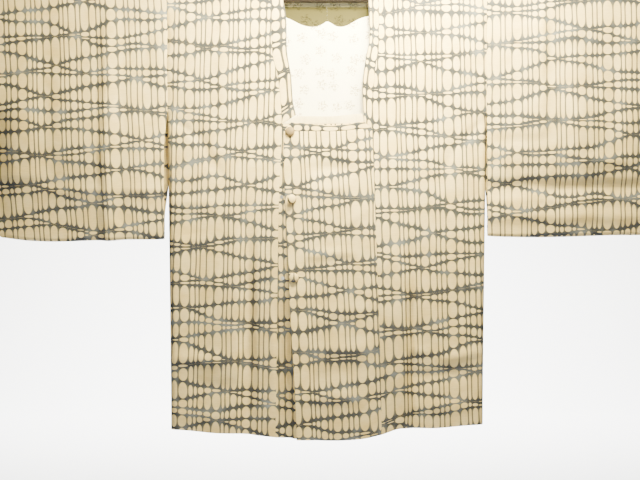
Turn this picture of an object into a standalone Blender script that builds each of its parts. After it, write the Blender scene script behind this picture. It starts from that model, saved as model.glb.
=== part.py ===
# A michiyuki kimono coat hung on a rod through its sleeves, in metres, +Z up.
# The coat's front faces -Y and the wearer's left is +X. The origin is the inside of the
# hook's crown, where the hanger is hung up.
#
# Every cloth piece is a wall made from a grid of points on the middle of its cloth. A point
# is named by x and by its fall: how far down the cloth it lies from the shoulder line. The
# fall is positive down the front and negative down the back, and the cloth turns over the
# rod between the two.

import math

import bmesh
import bpy
from mathutils import Matrix, Vector

# Hanger
ROD_DIAMETER = 0.020
ROD_LENGTH = 1.370
ROD_END_ROUND = 0.004
ROD_BELOW_HOOK = 0.085        # the rod's axis below the crown of the hook
HOOK_WIRE = 0.004
HOOK_RADIUS = 0.016           # the hook's bend, to the middle of its wire
HOOK_NECK = 0.030             # straight shank above the rod

# Cloth
CLOTH = 0.0018                # the outer silk and its lining as one wall
LINING = 0.0010               # the back lining that hangs free behind the neck
GAP = 0.0003                  # between pieces that are sewn together
BAND_RAISE = 0.0004           # how much thicker the folded neck band is than the panels
LAYER_STEP = CLOTH + BAND_RAISE + GAP

# The turn over the rod: the cloth's middle runs on this radius down to the rod's axis. Its
# facets dip towards the rod between their corners, so the corners stand a little further off.
FACET_DIP = 0.0005
FOLD_RADIUS = ROD_DIAMETER / 2 + GAP + FACET_DIP + CLOTH / 2
FOLD_FALL = FOLD_RADIUS + CLOTH / 2
ROD_LEVEL = -ROD_BELOW_HOOK
SHOULDER_LEVEL = ROD_LEVEL + FOLD_FALL

# Body
COAT_LENGTH = 0.880           # shoulder line to hem
ARMHOLE = 0.235               # sewn depth of the sleeve, from the shoulder line
SIDE_CLOSES = 0.040           # the side seam draws front and back together in this fall
SIDE_DEPTH = 0.0120           # half depth of the body at its side seams, low down
FRONT_BOW = 0.0160            # how far the middle of the front stands out, past its sides
BACK_BOW = 0.0100
BOW_FALL = 0.460              # the bow grows over this fall
BACK_NECK_DEPTH = 0.040       # the back neckline below the shoulder line
BAND_WIDTH_BACK = 0.020
LINING_TOP = 0.0185           # the lining starts just below the rod
LINING_HEM = 0.860

# Sleeves
SLEEVE_END = 0.660            # centre back to cuff
SLEEVE_LENGTH = 0.490
SLEEVE_SAG = 0.008            # the middle of the sleeve's foot hangs this much lower
SLEEVE_FOOT_DEPTH = 0.0062    # half depth just above the foot
FOOT_ROUND = 0.007            # height of the rounded foot
CUFF_OPENING = 0.230
CUFF_CLOSES = 0.030
CORNER_RADIUS = 0.020
FURI_SPREAD = {"left": 0.0012, "right": 0.0070}   # how far the open edge swings out

# The half width of the body at its side seam, by fall
SIDE_LINE = (
    {"fall": 0.000, "x": 0.3205},
    {"fall": 0.235, "x": 0.3205},
    {"fall": 0.265, "x": 0.3182},
    {"fall": 0.300, "x": 0.3172},
    {"fall": 0.880, "x": 0.3095},
)

# Distances from the centre to the front seam of each body panel: beside the neck it takes
# the neck band, and below the neck the overlap panel
FRONT_SEAM = {
    "left": (
        {"fall": 0.000, "x": 0.1040},
        {"fall": 0.110, "x": 0.1040},
        {"fall": 0.150, "x": 0.0975},
        {"fall": 0.200, "x": 0.0930},
        {"fall": 0.250, "x": 0.0900},
        {"fall": 0.290, "x": 0.0905},
        {"fall": 0.620, "x": 0.1020},
        {"fall": 0.880, "x": 0.1080},
    ),
    "right": (
        {"fall": 0.000, "x": 0.1100},
        {"fall": 0.122, "x": 0.1095},
        {"fall": 0.172, "x": 0.0985},
        {"fall": 0.234, "x": 0.0920},
        {"fall": 0.270, "x": 0.0905},
        {"fall": 0.420, "x": 0.0960},
        {"fall": 0.820, "x": 0.1020},
        {"fall": 0.880, "x": 0.1030},
    ),
}

# Distances from the centre to the free inner edge of the neck band
BAND_EDGE = {
    "left": (
        {"fall": 0.000, "x": 0.0820},
        {"fall": 0.090, "x": 0.0855},
        {"fall": 0.145, "x": 0.0760},
        {"fall": 0.200, "x": 0.0705},
        {"fall": 0.265, "x": 0.0735},
    ),
    "right": (
        {"fall": 0.000, "x": 0.0885},
        {"fall": 0.060, "x": 0.0815},
        {"fall": 0.122, "x": 0.0800},
        {"fall": 0.172, "x": 0.0720},
        {"fall": 0.224, "x": 0.0680},
        {"fall": 0.256, "x": 0.0620},
    ),
}

# Where the sides of the band end at their mitres: the fall at the seam and at the free edge
BAND_FOOT = {"left": (0.2770, 0.2630), "right": (0.2680, 0.2500)}

# The stretches of band across the front, by x: falls of their upper and lower edges
CROSS_BAND = {
    "over": (
        {"x": -0.086, "top": 0.2650, "foot": 0.2828},
        {"x": 0.012, "top": 0.2712, "foot": 0.2828},
        {"x": 0.090, "top": 0.2628, "foot": 0.2770},
    ),
    "under": (
        {"x": -0.091, "top": 0.2520, "foot": 0.2680},
        {"x": 0.000, "top": 0.2530, "foot": 0.2680},
        {"x": 0.080, "top": 0.2470, "foot": 0.2660},
    ),
}

# The free edges of the two overlap panels, as x by fall
FREE_EDGE = {
    "over": (
        {"fall": 0.270, "x": -0.0865},
        {"fall": 0.420, "x": -0.0840},
        {"fall": 0.620, "x": -0.0740},
        {"fall": 0.890, "x": -0.0600},
    ),
    "under": (
        {"fall": 0.250, "x": 0.0780},
        {"fall": 0.880, "x": 0.0660},
    ),
}

# The hem's fall across the front and the back
HEM = {
    "front": (
        {"x": -0.310, "fall": 0.880},
        {"x": -0.224, "fall": 0.886},
        {"x": -0.174, "fall": 0.887},
        {"x": -0.130, "fall": 0.891},
        {"x": -0.060, "fall": 0.896},
        {"x": 0.010, "fall": 0.899},
        {"x": 0.070, "fall": 0.896},
        {"x": 0.108, "fall": 0.887},
        {"x": 0.146, "fall": 0.875},
        {"x": 0.206, "fall": 0.876},
        {"x": 0.310, "fall": 0.870},
    ),
    "back": (
        {"x": -0.310, "fall": 0.878},
        {"x": -0.150, "fall": 0.884},
        {"x": 0.000, "fall": 0.882},
        {"x": 0.150, "fall": 0.880},
        {"x": 0.310, "fall": 0.869},
    ),
}
HEM_SHAPED_FROM = 0.600       # above this fall the rows are level

# The largest soft troughs in the hanging body: centre, half width, depth, where one starts
TROUGHS = {
    "front": (
        {"x": -0.152, "reach": 0.050, "depth": 0.0050, "from": 0.540},
        {"x": 0.172, "reach": 0.050, "depth": 0.0046, "from": 0.600},
        {"x": -0.255, "reach": 0.040, "depth": 0.0022, "from": 0.400},
        {"x": 0.258, "reach": 0.040, "depth": 0.0018, "from": 0.480},
    ),
    "back": (
        {"x": -0.190, "reach": 0.060, "depth": 0.0048, "from": 0.420},
        {"x": -0.070, "reach": 0.045, "depth": 0.0030, "from": 0.620},
        {"x": 0.110, "reach": 0.055, "depth": 0.0042, "from": 0.500},
        {"x": 0.225, "reach": 0.045, "depth": 0.0030, "from": 0.360},
    ),
}
TROUGH_GROWS = 0.200          # a trough reaches its full depth over this fall

# The left front and the over panel lie one layer in front of the right front
LIFT_FROM_X = 0.170
LIFT_FULL_X = 0.100
LIFT_FROM_FALL = 0.040
LIFT_FULL_FALL = 0.160

# Covered buttons on the over panel, and press studs on the under panel beside them
BUTTON_RADIUS = 0.0095
BUTTON_HEIGHT = 0.0065
BUTTON_RIM = 0.0014           # height of its rounded rim
BUTTONS = (
    {"x": -0.0740, "fall": 0.284, "turned": 0, "above": BAND_RAISE},
    {"x": -0.0706, "fall": 0.419, "turned": 28, "above": 0.0},
    {"x": -0.0660, "fall": 0.575, "turned": 6, "above": 0.0},
)
STUD_RADIUS = 0.0036
STUD_HEIGHT = 0.0014
STUDS = (
    {"x": -0.0902, "fall": 0.414, "turned": 0, "above": 0.0},
    {"x": -0.0884, "fall": 0.576, "turned": 0, "above": 0.0},
)

# How finely each wall is divided
TURN_STEPS = 4                # shoulder line to the level of the rod's axis
BACK_NECK_STEPS = 6
UPPER_STEPS = 6               # below the neck or rod, down to the armhole's foot
CLOSING_STEPS = 4
LOWER_STEPS = 14
PANEL_COLUMNS = 9
SIDE_COLUMNS = 3
SLEEVE_COLUMNS = 7
CORNER_COLUMNS = 4
SLEEVE_STEPS = 11
FOOT_STEPS = 3

SILK = {"colour": (0.72, 0.62, 0.46, 1), "roughness": 0.55, "metallic": 0.0}
LINING_SILK = {"colour": (0.86, 0.80, 0.64, 1), "roughness": 0.45, "metallic": 0.0}
WOOD = {"colour": (0.16, 0.09, 0.05, 1), "roughness": 0.50, "metallic": 0.0}
STEEL = {"colour": (0.62, 0.61, 0.58, 1), "roughness": 0.30, "metallic": 1.0}

SIGN = {"left": 1, "right": -1}


def clear_scene():
    for thing in list(bpy.data.objects):
        bpy.data.objects.remove(thing, do_unlink=True)


def ease(t):
    # 0 to 1 with level ends
    t = min(max(t, 0.0), 1.0)
    return t * t * (3 - 2 * t)


def mix(a, b, t):
    return a + (b - a) * t


def steps(start, end, count):
    # count values after start, up to and including end
    return [mix(start, end, (i + 1) / count) for i in range(count)]


def read(rows, key, at, column):
    # A smooth curve through a table's rows, held level past its ends
    if at <= rows[0][key]:
        return rows[0][column]
    if at >= rows[-1][key]:
        return rows[-1][column]
    i = next(k for k in range(1, len(rows)) if at <= rows[k][key])

    def slope(k):
        # level at a turning point and next to a level stretch, so nothing overshoots
        if k == 0 or k == len(rows) - 1:
            return 0.0
        before = rows[k][column] - rows[k - 1][column]
        after = rows[k + 1][column] - rows[k][column]
        return (before + after) / (rows[k + 1][key] - rows[k - 1][key]) if before * after > 0 else 0.0

    run = rows[i][key] - rows[i - 1][key]
    t = (at - rows[i - 1][key]) / run
    start, end = rows[i - 1][column], rows[i][column]
    leaving, arriving = slope(i - 1) * run, slope(i) * run
    return (
        start * (1 + 2 * t) * (1 - t) ** 2
        + leaving * t * (1 - t) ** 2
        + end * t * t * (3 - 2 * t)
        - arriving * t * t * (1 - t)
    )


def seam_depth(fall):
    # Half depth of sleeve and body where they are sewn together, and down the sleeve
    down = (abs(fall) - FOLD_FALL) / (SLEEVE_LENGTH - FOLD_FALL)
    return mix(FOLD_RADIUS, SLEEVE_FOOT_DEPTH, ease(down))


def side_depth(fall):
    low = ease((abs(fall) - ARMHOLE) / 0.2)
    return mix(seam_depth(min(abs(fall), ARMHOLE)), SIDE_DEPTH, low)


def body_depth(x, fall):
    # How far the body's cloth stands from the plane of the rod
    face = "front" if fall >= 0 else "back"
    bow = FRONT_BOW if face == "front" else BACK_BOW
    down = abs(fall)
    across = max(0.0, 1 - (abs(x) / read(SIDE_LINE, "fall", down, "x")) ** 2)
    depth = side_depth(down) + bow * ease((down - FOLD_FALL) / BOW_FALL) * across
    for trough in TROUGHS[face]:
        near = max(0.0, 1 - abs(x - trough["x"]) / trough["reach"])
        depth -= trough["depth"] * ease(near) * ease((down - trough["from"]) / TROUGH_GROWS)
    return depth


def lift(x, fall):
    # The extra layer under the left front, which dies away before the side and the shoulder
    across = ease((LIFT_FROM_X - x) / (LIFT_FROM_X - LIFT_FULL_X))
    return LAYER_STEP * across * ease((fall - LIFT_FROM_FALL) / (LIFT_FULL_FALL - LIFT_FROM_FALL))


def hemmed(x, fall):
    # The fall of a row's point once the row is bent to the shaped hem
    face = "front" if fall >= 0 else "back"
    shaping = read(HEM[face], "x", x, "fall") - COAT_LENGTH
    low = (abs(fall) - HEM_SHAPED_FROM) / (COAT_LENGTH - HEM_SHAPED_FROM)
    return math.copysign(abs(fall) + shaping * ease(low), fall)


def hang(x, fall, depth):
    # A point of hanging cloth: over the rod first, then straight down at the given depth
    towards = -1 if fall >= 0 else 1
    down = abs(fall)
    if down < FOLD_FALL:
        turn = math.pi / 2 * down / FOLD_FALL
        reach, rise = FOLD_RADIUS * math.sin(turn), FOLD_RADIUS * math.cos(turn)
        return Vector((x, towards * reach, ROD_LEVEL + rise))
    return Vector((x, towards * depth, SHOULDER_LEVEL - down))


def on_body(x, fall, lifted=False):
    depth = body_depth(x, fall)
    if lifted and fall > 0:
        depth += lift(x, fall)
    return hang(x, hemmed(x, fall), depth)


def outward_normals(grid, closed):
    # Unit normals of a grid's surface, pointing away from the coat's hollow
    rows, columns = len(grid), len(grid[0])
    normals = []
    for r in range(rows):
        above = grid[(r - 1) % rows] if closed else grid[max(r - 1, 0)]
        below = grid[(r + 1) % rows] if closed else grid[min(r + 1, rows - 1)]
        line = []
        for c in range(columns):
            across = grid[r][min(c + 1, columns - 1)] - grid[r][max(c - 1, 0)]
            line.append(across.cross(below[c] - above[c]).normalized())
        normals.append(line)
    deepest = max(
        ((r, c) for r in range(rows) for c in range(columns)),
        key=lambda rc: abs(grid[rc[0]][rc[1]].y * normals[rc[0]][rc[1]].y),
    )
    point, normal = grid[deepest[0]][deepest[1]], normals[deepest[0]][deepest[1]]
    way = 1 if point.y * normal.y > 0 else -1
    return [[normal * way for normal in line] for line in normals]


def add_object(name, mesh, look):
    material = bpy.data.materials.new(name)
    material.use_nodes = True
    shader = material.node_tree.nodes["Principled BSDF"]
    shader.inputs["Base Color"].default_value = look["colour"]
    shader.inputs["Roughness"].default_value = look["roughness"]
    shader.inputs["Metallic"].default_value = look["metallic"]
    thing = bpy.data.objects.new(name, mesh)
    thing.data.materials.append(material)
    bpy.context.collection.objects.link(thing)
    return thing


def add_wall(name, grid, outside, inside, look=SILK, closed=False):
    # A closed wall from a grid of points on its middle: its outer face stands outside of
    # them and its inner face inside of them. In a closed grid the last row meets the first.
    rows, columns = len(grid), len(grid[0])
    normals = outward_normals(grid, closed)
    shape = bmesh.new()
    skins = []
    for distance in (outside, -inside):
        skins.append([
            [shape.verts.new(grid[r][c] + normals[r][c] * distance) for c in range(columns)]
            for r in range(rows)
        ])
    outer, inner = skins
    bands = rows if closed else rows - 1
    for r in range(bands):
        after = (r + 1) % rows
        for c in range(columns - 1):
            shape.faces.new((outer[r][c], outer[r][c + 1], outer[after][c + 1], outer[after][c]))
            shape.faces.new((inner[r][c], inner[after][c], inner[after][c + 1], inner[r][c + 1]))
        for c in (0, columns - 1):
            shape.faces.new((outer[r][c], outer[after][c], inner[after][c], inner[r][c]))
    if not closed:
        for r in (0, rows - 1):
            for c in range(columns - 1):
                shape.faces.new((outer[r][c], inner[r][c], inner[r][c + 1], outer[r][c + 1]))
    bmesh.ops.recalc_face_normals(shape, faces=shape.faces)
    mesh = bpy.data.meshes.new(name)
    shape.to_mesh(mesh)
    shape.free()
    mesh.shade_smooth()
    mesh.set_sharp_from_angle(angle=math.radians(50))
    return add_object(name, mesh, look)


def panel_falls():
    # The rows of a body panel, from its back hem over the shoulder to its front hem
    turn = steps(0, FOLD_FALL, TURN_STEPS)
    below = steps(ARMHOLE, ARMHOLE + SIDE_CLOSES, CLOSING_STEPS)
    below += steps(ARMHOLE + SIDE_CLOSES, COAT_LENGTH, LOWER_STEPS)
    neck = []
    for step in range(1, BACK_NECK_STEPS + 1):
        fall = BACK_NECK_DEPTH * math.sin(math.pi / 2 * step / BACK_NECK_STEPS)
        if fall > FOLD_FALL + 0.002:
            neck.append(fall)
    front = turn + steps(FOLD_FALL, ARMHOLE, UPPER_STEPS + 1) + below
    back = turn + neck + steps(BACK_NECK_DEPTH, ARMHOLE, UPPER_STEPS) + below
    return [-fall for fall in reversed(back)] + [0.0] + front


def panel_inner_edge(side, fall):
    # The front seam, or the back neckline and then the centre back seam
    if fall >= 0:
        return read(FRONT_SEAM[side], "fall", fall, "x")
    down = min(-fall / BACK_NECK_DEPTH, 1.0)
    neck = FRONT_SEAM[side][0]["x"]
    return mix(GAP / 2, neck, math.sqrt(1 - down * down))


def side_curl(fall):
    # How far the strip at the side has turned towards the side seam
    return math.pi / 2 * ease((abs(fall) - ARMHOLE) / SIDE_CLOSES)


def side_strip(fall):
    # The width of cloth in that strip
    return (side_depth(fall) - GAP / 2) * math.pi / 2


def strip_point(fall, part):
    # How far along x and back in the curled strip has come, at a share of its width
    curl, strip = side_curl(fall), side_strip(fall)
    if curl < 0.01:
        return strip * part, 0.0
    bend = strip / curl
    return bend * math.sin(curl * part), bend * (1 - math.cos(curl * part))


def hanging_edge(fall):
    # Where the hanging part of a body panel ends and the strip begins
    return read(SIDE_LINE, "fall", abs(fall), "x") - strip_point(fall, 1)[0]


def body_panel_row(side, fall):
    # One row across: the hanging part, then the strip that curls round to the side seam
    sign = SIGN[side]
    edge_x = hanging_edge(fall)
    inner_x = panel_inner_edge(side, fall)
    row = []
    for column in range(PANEL_COLUMNS):
        x = sign * mix(inner_x, edge_x, column / (PANEL_COLUMNS - 1))
        row.append(on_body(x, fall, lifted=side == "left"))
    depth = side_depth(fall)
    bowed = abs(row[-1].y) - depth
    for part in steps(0, 1, SIDE_COLUMNS):
        along, back_in = strip_point(fall, part)
        x = sign * (edge_x + along)
        out = depth - back_in + bowed * (1 - ease(part))
        row.append(hang(x, hemmed(x, fall), out))
    return row


def make_body_panel(side):
    grid = [body_panel_row(side, fall) for fall in panel_falls()]
    add_wall("body_panel_" + side, grid, CLOTH / 2, CLOTH / 2)


def sleeve_foot(x):
    # The fall of the sleeve's foot at a distance x from the centre back
    inner = read(SIDE_LINE, "fall", 0, "x")
    sag = SLEEVE_SAG * math.sin(math.pi * (abs(x) - inner) / (SLEEVE_END - inner))
    past = max(0.0, abs(x) - (SLEEVE_END - CORNER_RADIUS))
    corner = CORNER_RADIUS - math.sqrt(max(CORNER_RADIUS ** 2 - past ** 2, 0.0))
    return SLEEVE_LENGTH + sag - corner


def sleeve_depth(x, fall):
    # The cuff end is sewn shut below the hand's opening
    shut = ease((abs(x) - SLEEVE_END + 0.045) / 0.045)
    shut *= ease((fall - CUFF_OPENING) / CUFF_CLOSES)
    return mix(seam_depth(fall), CLOTH / 2 + GAP, shut)


def sleeve_ring(side, across):
    # The closed section of a sleeve at a share of the way from armhole seam to cuff
    sign = SIGN[side]
    seam_x = read(SIDE_LINE, "fall", 0, "x") + GAP

    def x_at(fall):
        swing = FURI_SPREAD[side] * ease((fall - ARMHOLE) / (SLEEVE_LENGTH - ARMHOLE))
        return mix(seam_x + swing, SLEEVE_END, across)

    half = []
    for fall in [0.0] + steps(0, FOLD_FALL, TURN_STEPS):
        half.append(hang(sign * x_at(fall), fall, FOLD_RADIUS))
    for share in steps(0, 1, SLEEVE_STEPS):
        x = x_at(mix(FOLD_FALL, SLEEVE_LENGTH, share))
        fall = mix(FOLD_FALL, sleeve_foot(x) - CLOTH / 2 - FOOT_ROUND, share)
        half.append(hang(sign * x, fall, sleeve_depth(x, fall)))
    x = x_at(SLEEVE_LENGTH)
    start = sleeve_foot(x) - CLOTH / 2 - FOOT_ROUND
    depth = sleeve_depth(x, start)
    for turn in steps(0, math.pi / 2, FOOT_STEPS):
        fall = start + FOOT_ROUND * math.sin(turn)
        half.append(hang(sign * x, fall, depth * math.cos(turn)))
    back = [Vector((p.x, -p.y, p.z)) for p in reversed(half[1:-1])]
    return half + back


def make_sleeve(side):
    # The columns crowd towards the cuff, where the foot turns its rounded corner
    seam_x = read(SIDE_LINE, "fall", 0, "x") + GAP
    turns = 1 - CORNER_RADIUS / (SLEEVE_END - seam_x)
    shares = [0.0] + steps(0, turns - CORNER_RADIUS, SLEEVE_COLUMNS) + [turns]
    shares += [mix(turns, 1, math.sin(angle)) for angle in steps(0, math.pi / 2, CORNER_COLUMNS)]
    rings = [sleeve_ring(side, share) for share in shares]
    grid = [[ring[r] for ring in rings] for r in range(len(rings[0]))]
    add_wall("sleeve_" + side, grid, CLOTH / 2, CLOTH / 2, closed=True)


def make_overlap_panel(name, rank, columns=7):
    # rank "over" is the wearer's left panel, on top; "under" is the right one. Below its
    # slanted top its rows are the body panel's, so that the seam between them keeps its gap.
    side = "left" if rank == "over" else "right"
    levels = [fall for fall in panel_falls() if fall > ARMHOLE + SIDE_CLOSES + 0.01]
    grid = []
    for level in [BAND_FOOT[side][0]] + levels:
        line = []
        for c in range(columns + 1):
            seam = SIGN[side] * (read(FRONT_SEAM[side], "fall", level, "x") - GAP)
            x = mix(read(FREE_EDGE[rank], "fall", level, "x"), seam, c / columns)
            fall = level if grid else read(CROSS_BAND[rank], "x", x, "foot") + GAP
            line.append(on_body(x, fall, lifted=rank == "over"))
        grid.append(line)
    add_wall(name, grid, CLOTH / 2, CLOTH / 2)


def make_neck_band(side, columns=4):
    # From the centre back, over the shoulder and down to the mitre at the front. Its rows are
    # the body panel's, so that the seam between them keeps its gap.
    sign = SIGN[side]
    neck = FRONT_SEAM[side][0]["x"]
    free = BAND_EDGE[side][0]["x"]
    shallow = BACK_NECK_DEPTH - BAND_WIDTH_BACK
    seam_foot, edge_foot = BAND_FOOT[side]
    falls = [fall for fall in panel_falls() if -BACK_NECK_DEPTH <= fall < seam_foot - 0.004]
    grid = []
    for fall in falls + [seam_foot]:
        line = []
        for c in range(columns + 1):
            w = c / columns
            if fall < 0:
                angle = math.asin(min(-fall / BACK_NECK_DEPTH, 1.0))
                x = mix(GAP / 2, mix(neck - GAP, free, w), math.cos(angle))
                point_fall = -mix(BACK_NECK_DEPTH - GAP, shallow, w) * math.sin(angle)
            else:
                point_fall = fall * mix(1, edge_foot / seam_foot, w)
                seam_x = read(FRONT_SEAM[side], "fall", point_fall, "x") - GAP
                x = mix(seam_x, read(BAND_EDGE[side], "fall", point_fall, "x"), w)
            line.append(on_body(sign * x, point_fall, lifted=side == "left"))
        grid.append(line)
    add_wall("neck_band_" + side, grid, CLOTH / 2 + BAND_RAISE, CLOTH / 2)


def make_cross_band(rank, columns=12, rows=2):
    # Its ends are cut on the slant, to meet the sides of the band at their mitres
    table = CROSS_BAND[rank]
    if rank == "over":
        ends = {"foot": (-0.0860, 0.0899 - 2 * GAP), "top": (-0.0720, 0.0735 - 2 * GAP)}
    else:
        ends = {"foot": (-0.0900 + 2 * GAP, 0.0800), "top": (-0.0620 + 2 * GAP, 0.0700)}
    grid = []
    for r in range(rows + 1):
        w = r / rows
        line = []
        for c in range(columns + 1):
            x = mix(mix(*ends["top"], c / columns), mix(*ends["foot"], c / columns), w)
            fall = mix(read(table, "x", x, "top"), read(table, "x", x, "foot"), w)
            line.append(on_body(x, fall, lifted=rank == "over"))
        grid.append(line)
    add_wall("neck_band_front_" + rank, grid, CLOTH / 2 + BAND_RAISE, CLOTH / 2)


def make_back_lining(side):
    # Made from the back panel's own points, moved in; behind the neck it reaches the centre
    falls = [fall for fall in panel_falls() if -LINING_HEM < fall < -LINING_TOP]
    grid = []
    for fall in [-LINING_HEM] + falls + [-LINING_TOP]:
        line = []
        for column in range(PANEL_COLUMNS):
            edge_x = hanging_edge(fall)
            inner_x = GAP / 2 if -fall < BACK_NECK_DEPTH else panel_inner_edge(side, fall)
            x = SIGN[side] * mix(inner_x, edge_x, column / (PANEL_COLUMNS - 1))
            line.append(on_body(x, fall))
        grid.append(line)
    near = CLOTH / 2 + GAP
    add_wall("lining_back_" + side, grid, -near, near + LINING, look=LINING_SILK)


def turned_profile(name, profile, segments, look):
    # A solid turned about its own Z axis, from (radius, height) pairs that start and end on it
    shape = bmesh.new()
    verts = [shape.verts.new((radius, 0, height)) for radius, height in profile]
    edges = [shape.edges.new(pair) for pair in zip(verts, verts[1:])]
    bmesh.ops.spin(shape, geom=verts + edges, axis=(0, 0, 1), cent=(0, 0, 0),
                   angle=math.tau, steps=segments, use_merge=True)
    bmesh.ops.remove_doubles(shape, verts=shape.verts, dist=1e-5)
    bmesh.ops.recalc_face_normals(shape, faces=shape.faces)
    mesh = bpy.data.meshes.new(name)
    shape.to_mesh(mesh)
    shape.free()
    mesh.shade_smooth()
    mesh.set_sharp_from_angle(angle=math.radians(40))
    return add_object(name, mesh, look)


def seat_on(thing, radius, spot, lifted):
    # Stands a turned piece on the cloth's outer face, tipped about the vertical if it is turned
    x, fall = spot["x"], spot["fall"]
    reach = 0.004
    across = on_body(x + reach, fall, lifted) - on_body(x - reach, fall, lifted)
    down = on_body(x, fall + reach, lifted) - on_body(x, fall - reach, lifted)
    normal = down.cross(across).normalized()
    tip = Matrix.Rotation(math.radians(spot["turned"]), 3, "Z")
    thing.rotation_euler = (tip @ normal).to_track_quat("Z", "Y").to_euler()
    clear = CLOTH / 2 + spot["above"] + GAP + radius * math.sin(math.radians(abs(spot["turned"])))
    thing.location = on_body(x, fall, lifted) + normal * clear


def make_buttons():
    # A domed disc under a circle of the coat's own cloth, with a rounded rim
    base = BUTTON_RADIUS - BUTTON_RIM
    profile = [(0, 0), (base, 0), (BUTTON_RADIUS, BUTTON_RIM)]
    for angle in steps(0, math.pi / 2, 4)[:-1]:
        height = BUTTON_RIM + (BUTTON_HEIGHT - BUTTON_RIM) * math.sin(angle)
        profile.append((BUTTON_RADIUS * math.cos(angle), height))
    profile.append((0, BUTTON_HEIGHT))
    for number, spot in enumerate(BUTTONS, start=1):
        button = turned_profile(f"button_{number}", profile, 20, SILK)
        seat_on(button, base, spot, lifted=True)


def make_studs():
    profile = [(0, 0), (STUD_RADIUS, 0), (STUD_RADIUS, STUD_HEIGHT * 0.6),
               (STUD_RADIUS * 0.8, STUD_HEIGHT), (0, STUD_HEIGHT)]
    for number, spot in enumerate(STUDS, start=1):
        stud = turned_profile(f"press_stud_{number}", profile, 16, STEEL)
        seat_on(stud, STUD_RADIUS, spot, lifted=False)


def make_rod():
    radius, half = ROD_DIAMETER / 2, ROD_LENGTH / 2
    arc = steps(0, math.pi / 2, 3)
    end = [(radius - ROD_END_ROUND * (1 - math.cos(a)), half - ROD_END_ROUND * (1 - math.sin(a)))
           for a in arc]
    profile = [(0, -half)] + [(r, -z) for r, z in reversed(end)]
    profile += [(radius, ROD_END_ROUND - half), (radius, half - ROD_END_ROUND)] + end + [(0, half)]
    rod = turned_profile("hanger_rod", profile, 24, WOOD)
    rod.rotation_euler = (0, math.pi / 2, 0)
    rod.location = (0, 0, ROD_LEVEL)


def make_hook():
    # Wire from the rod's top, swept out to one side and round over the crown
    centre = HOOK_WIRE / 2 - HOOK_RADIUS
    foot = ROD_LEVEL + ROD_DIAMETER / 2 + GAP
    points = [Vector((0, 0, foot)), Vector((0, 0, foot + HOOK_NECK / 2)), Vector((0, 0, foot + HOOK_NECK))]
    for share in steps(0, 1, 8):
        side = HOOK_RADIUS * ease(share)
        points.append(Vector((side, 0, mix(foot + HOOK_NECK, centre, share))))
    for angle in steps(0, math.radians(215), 16):
        points.append(Vector((HOOK_RADIUS * math.cos(angle), 0, centre + HOOK_RADIUS * math.sin(angle))))
    curve = bpy.data.curves.new("hanger_hook", "CURVE")
    curve.dimensions = "3D"
    curve.bevel_depth = HOOK_WIRE / 2
    curve.bevel_resolution = 2
    curve.use_fill_caps = True
    spline = curve.splines.new("POLY")
    spline.points.add(len(points) - 1)
    for slot, point in zip(spline.points, points):
        slot.co = (*point, 1)
    add_object("hanger_hook", curve, STEEL)


def main():
    clear_scene()
    for side in ("left", "right"):
        make_body_panel(side)
        make_sleeve(side)
        make_neck_band(side)
        make_back_lining(side)
    make_overlap_panel("overlap_panel_left", "over")
    make_overlap_panel("overlap_panel_right", "under")
    make_cross_band("over")
    make_cross_band("under")
    make_buttons()
    make_studs()
    make_rod()
    make_hook()


main()
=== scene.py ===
import math

import bmesh
import bpy
import numpy as np
from mathutils import Matrix, Vector


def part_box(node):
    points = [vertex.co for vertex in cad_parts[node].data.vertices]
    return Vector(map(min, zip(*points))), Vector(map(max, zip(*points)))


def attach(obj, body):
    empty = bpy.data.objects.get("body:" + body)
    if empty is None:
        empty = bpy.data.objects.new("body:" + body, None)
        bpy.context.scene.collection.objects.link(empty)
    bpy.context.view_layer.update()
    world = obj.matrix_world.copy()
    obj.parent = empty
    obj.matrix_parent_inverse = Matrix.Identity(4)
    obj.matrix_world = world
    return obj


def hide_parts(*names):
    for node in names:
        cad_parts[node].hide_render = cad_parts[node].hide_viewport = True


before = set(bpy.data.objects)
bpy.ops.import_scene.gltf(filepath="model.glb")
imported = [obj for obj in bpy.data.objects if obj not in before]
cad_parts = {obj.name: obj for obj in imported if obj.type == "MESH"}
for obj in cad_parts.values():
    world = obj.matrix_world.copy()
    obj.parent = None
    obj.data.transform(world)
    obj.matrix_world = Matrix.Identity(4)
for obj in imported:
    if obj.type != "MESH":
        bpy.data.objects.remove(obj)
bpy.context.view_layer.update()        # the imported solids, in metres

# The coat hangs over a rod with its front towards -Y. A place on its cloth is named by x
# and by its fall from the shoulder line, positive down the front and negative down the back.
rodLow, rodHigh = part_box("hanger_rod")
rodLevel = (rodLow.z + rodHigh.z) / 2
rodRadius = (rodHigh.z - rodLow.z) / 2

# what all the cloth shares
coat = {
    "wall": 0.0018,        # silk and lining together
    "gap": 0.0003,         # between one layer and the next
    "seam": 0.00002,       # between pieces sewn edge to edge
    "bandRaise": 0.0004,   # how much thicker the folded neck band is
    "facetDip": 0.0005,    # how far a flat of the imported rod's solid may dip
    "length": 0.880,
    "armhole": 0.235,      # how far down from the shoulder line the sleeve is sewn on
    "backNeck": 0.040,
    "edgeRoll": 0.0004,    # how far a sewn or folded edge dips
    "edgeReach": 0.0022,
    "edgeSteps": (0.0, 0.0011, 0.0024, 0.0042),   # rows of points that shape that roll
    "wander": 0.0015,      # how far a crease strays from its straight line
    "unevenness": (0.00035, 0.00022),   # broad and fine
}
foldRadius = rodRadius + coat["gap"] + coat["facetDip"] + coat["wall"] / 2
foldFall = foldRadius + coat["wall"] / 2
shoulderLevel = rodLevel + foldFall
layerStep = coat["wall"] + coat["bandRaise"] + coat["gap"]
signOf = {"left": 1, "right": -1}


def ease(t):
    t = min(max(t, 0.0), 1.0)
    return t * t * (3 - 2 * t)


def mix(a, b, t):
    return a + (b - a) * t


def spread(start, end, count):
    return [mix(start, end, (i + 1) / count) for i in range(count)]


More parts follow.
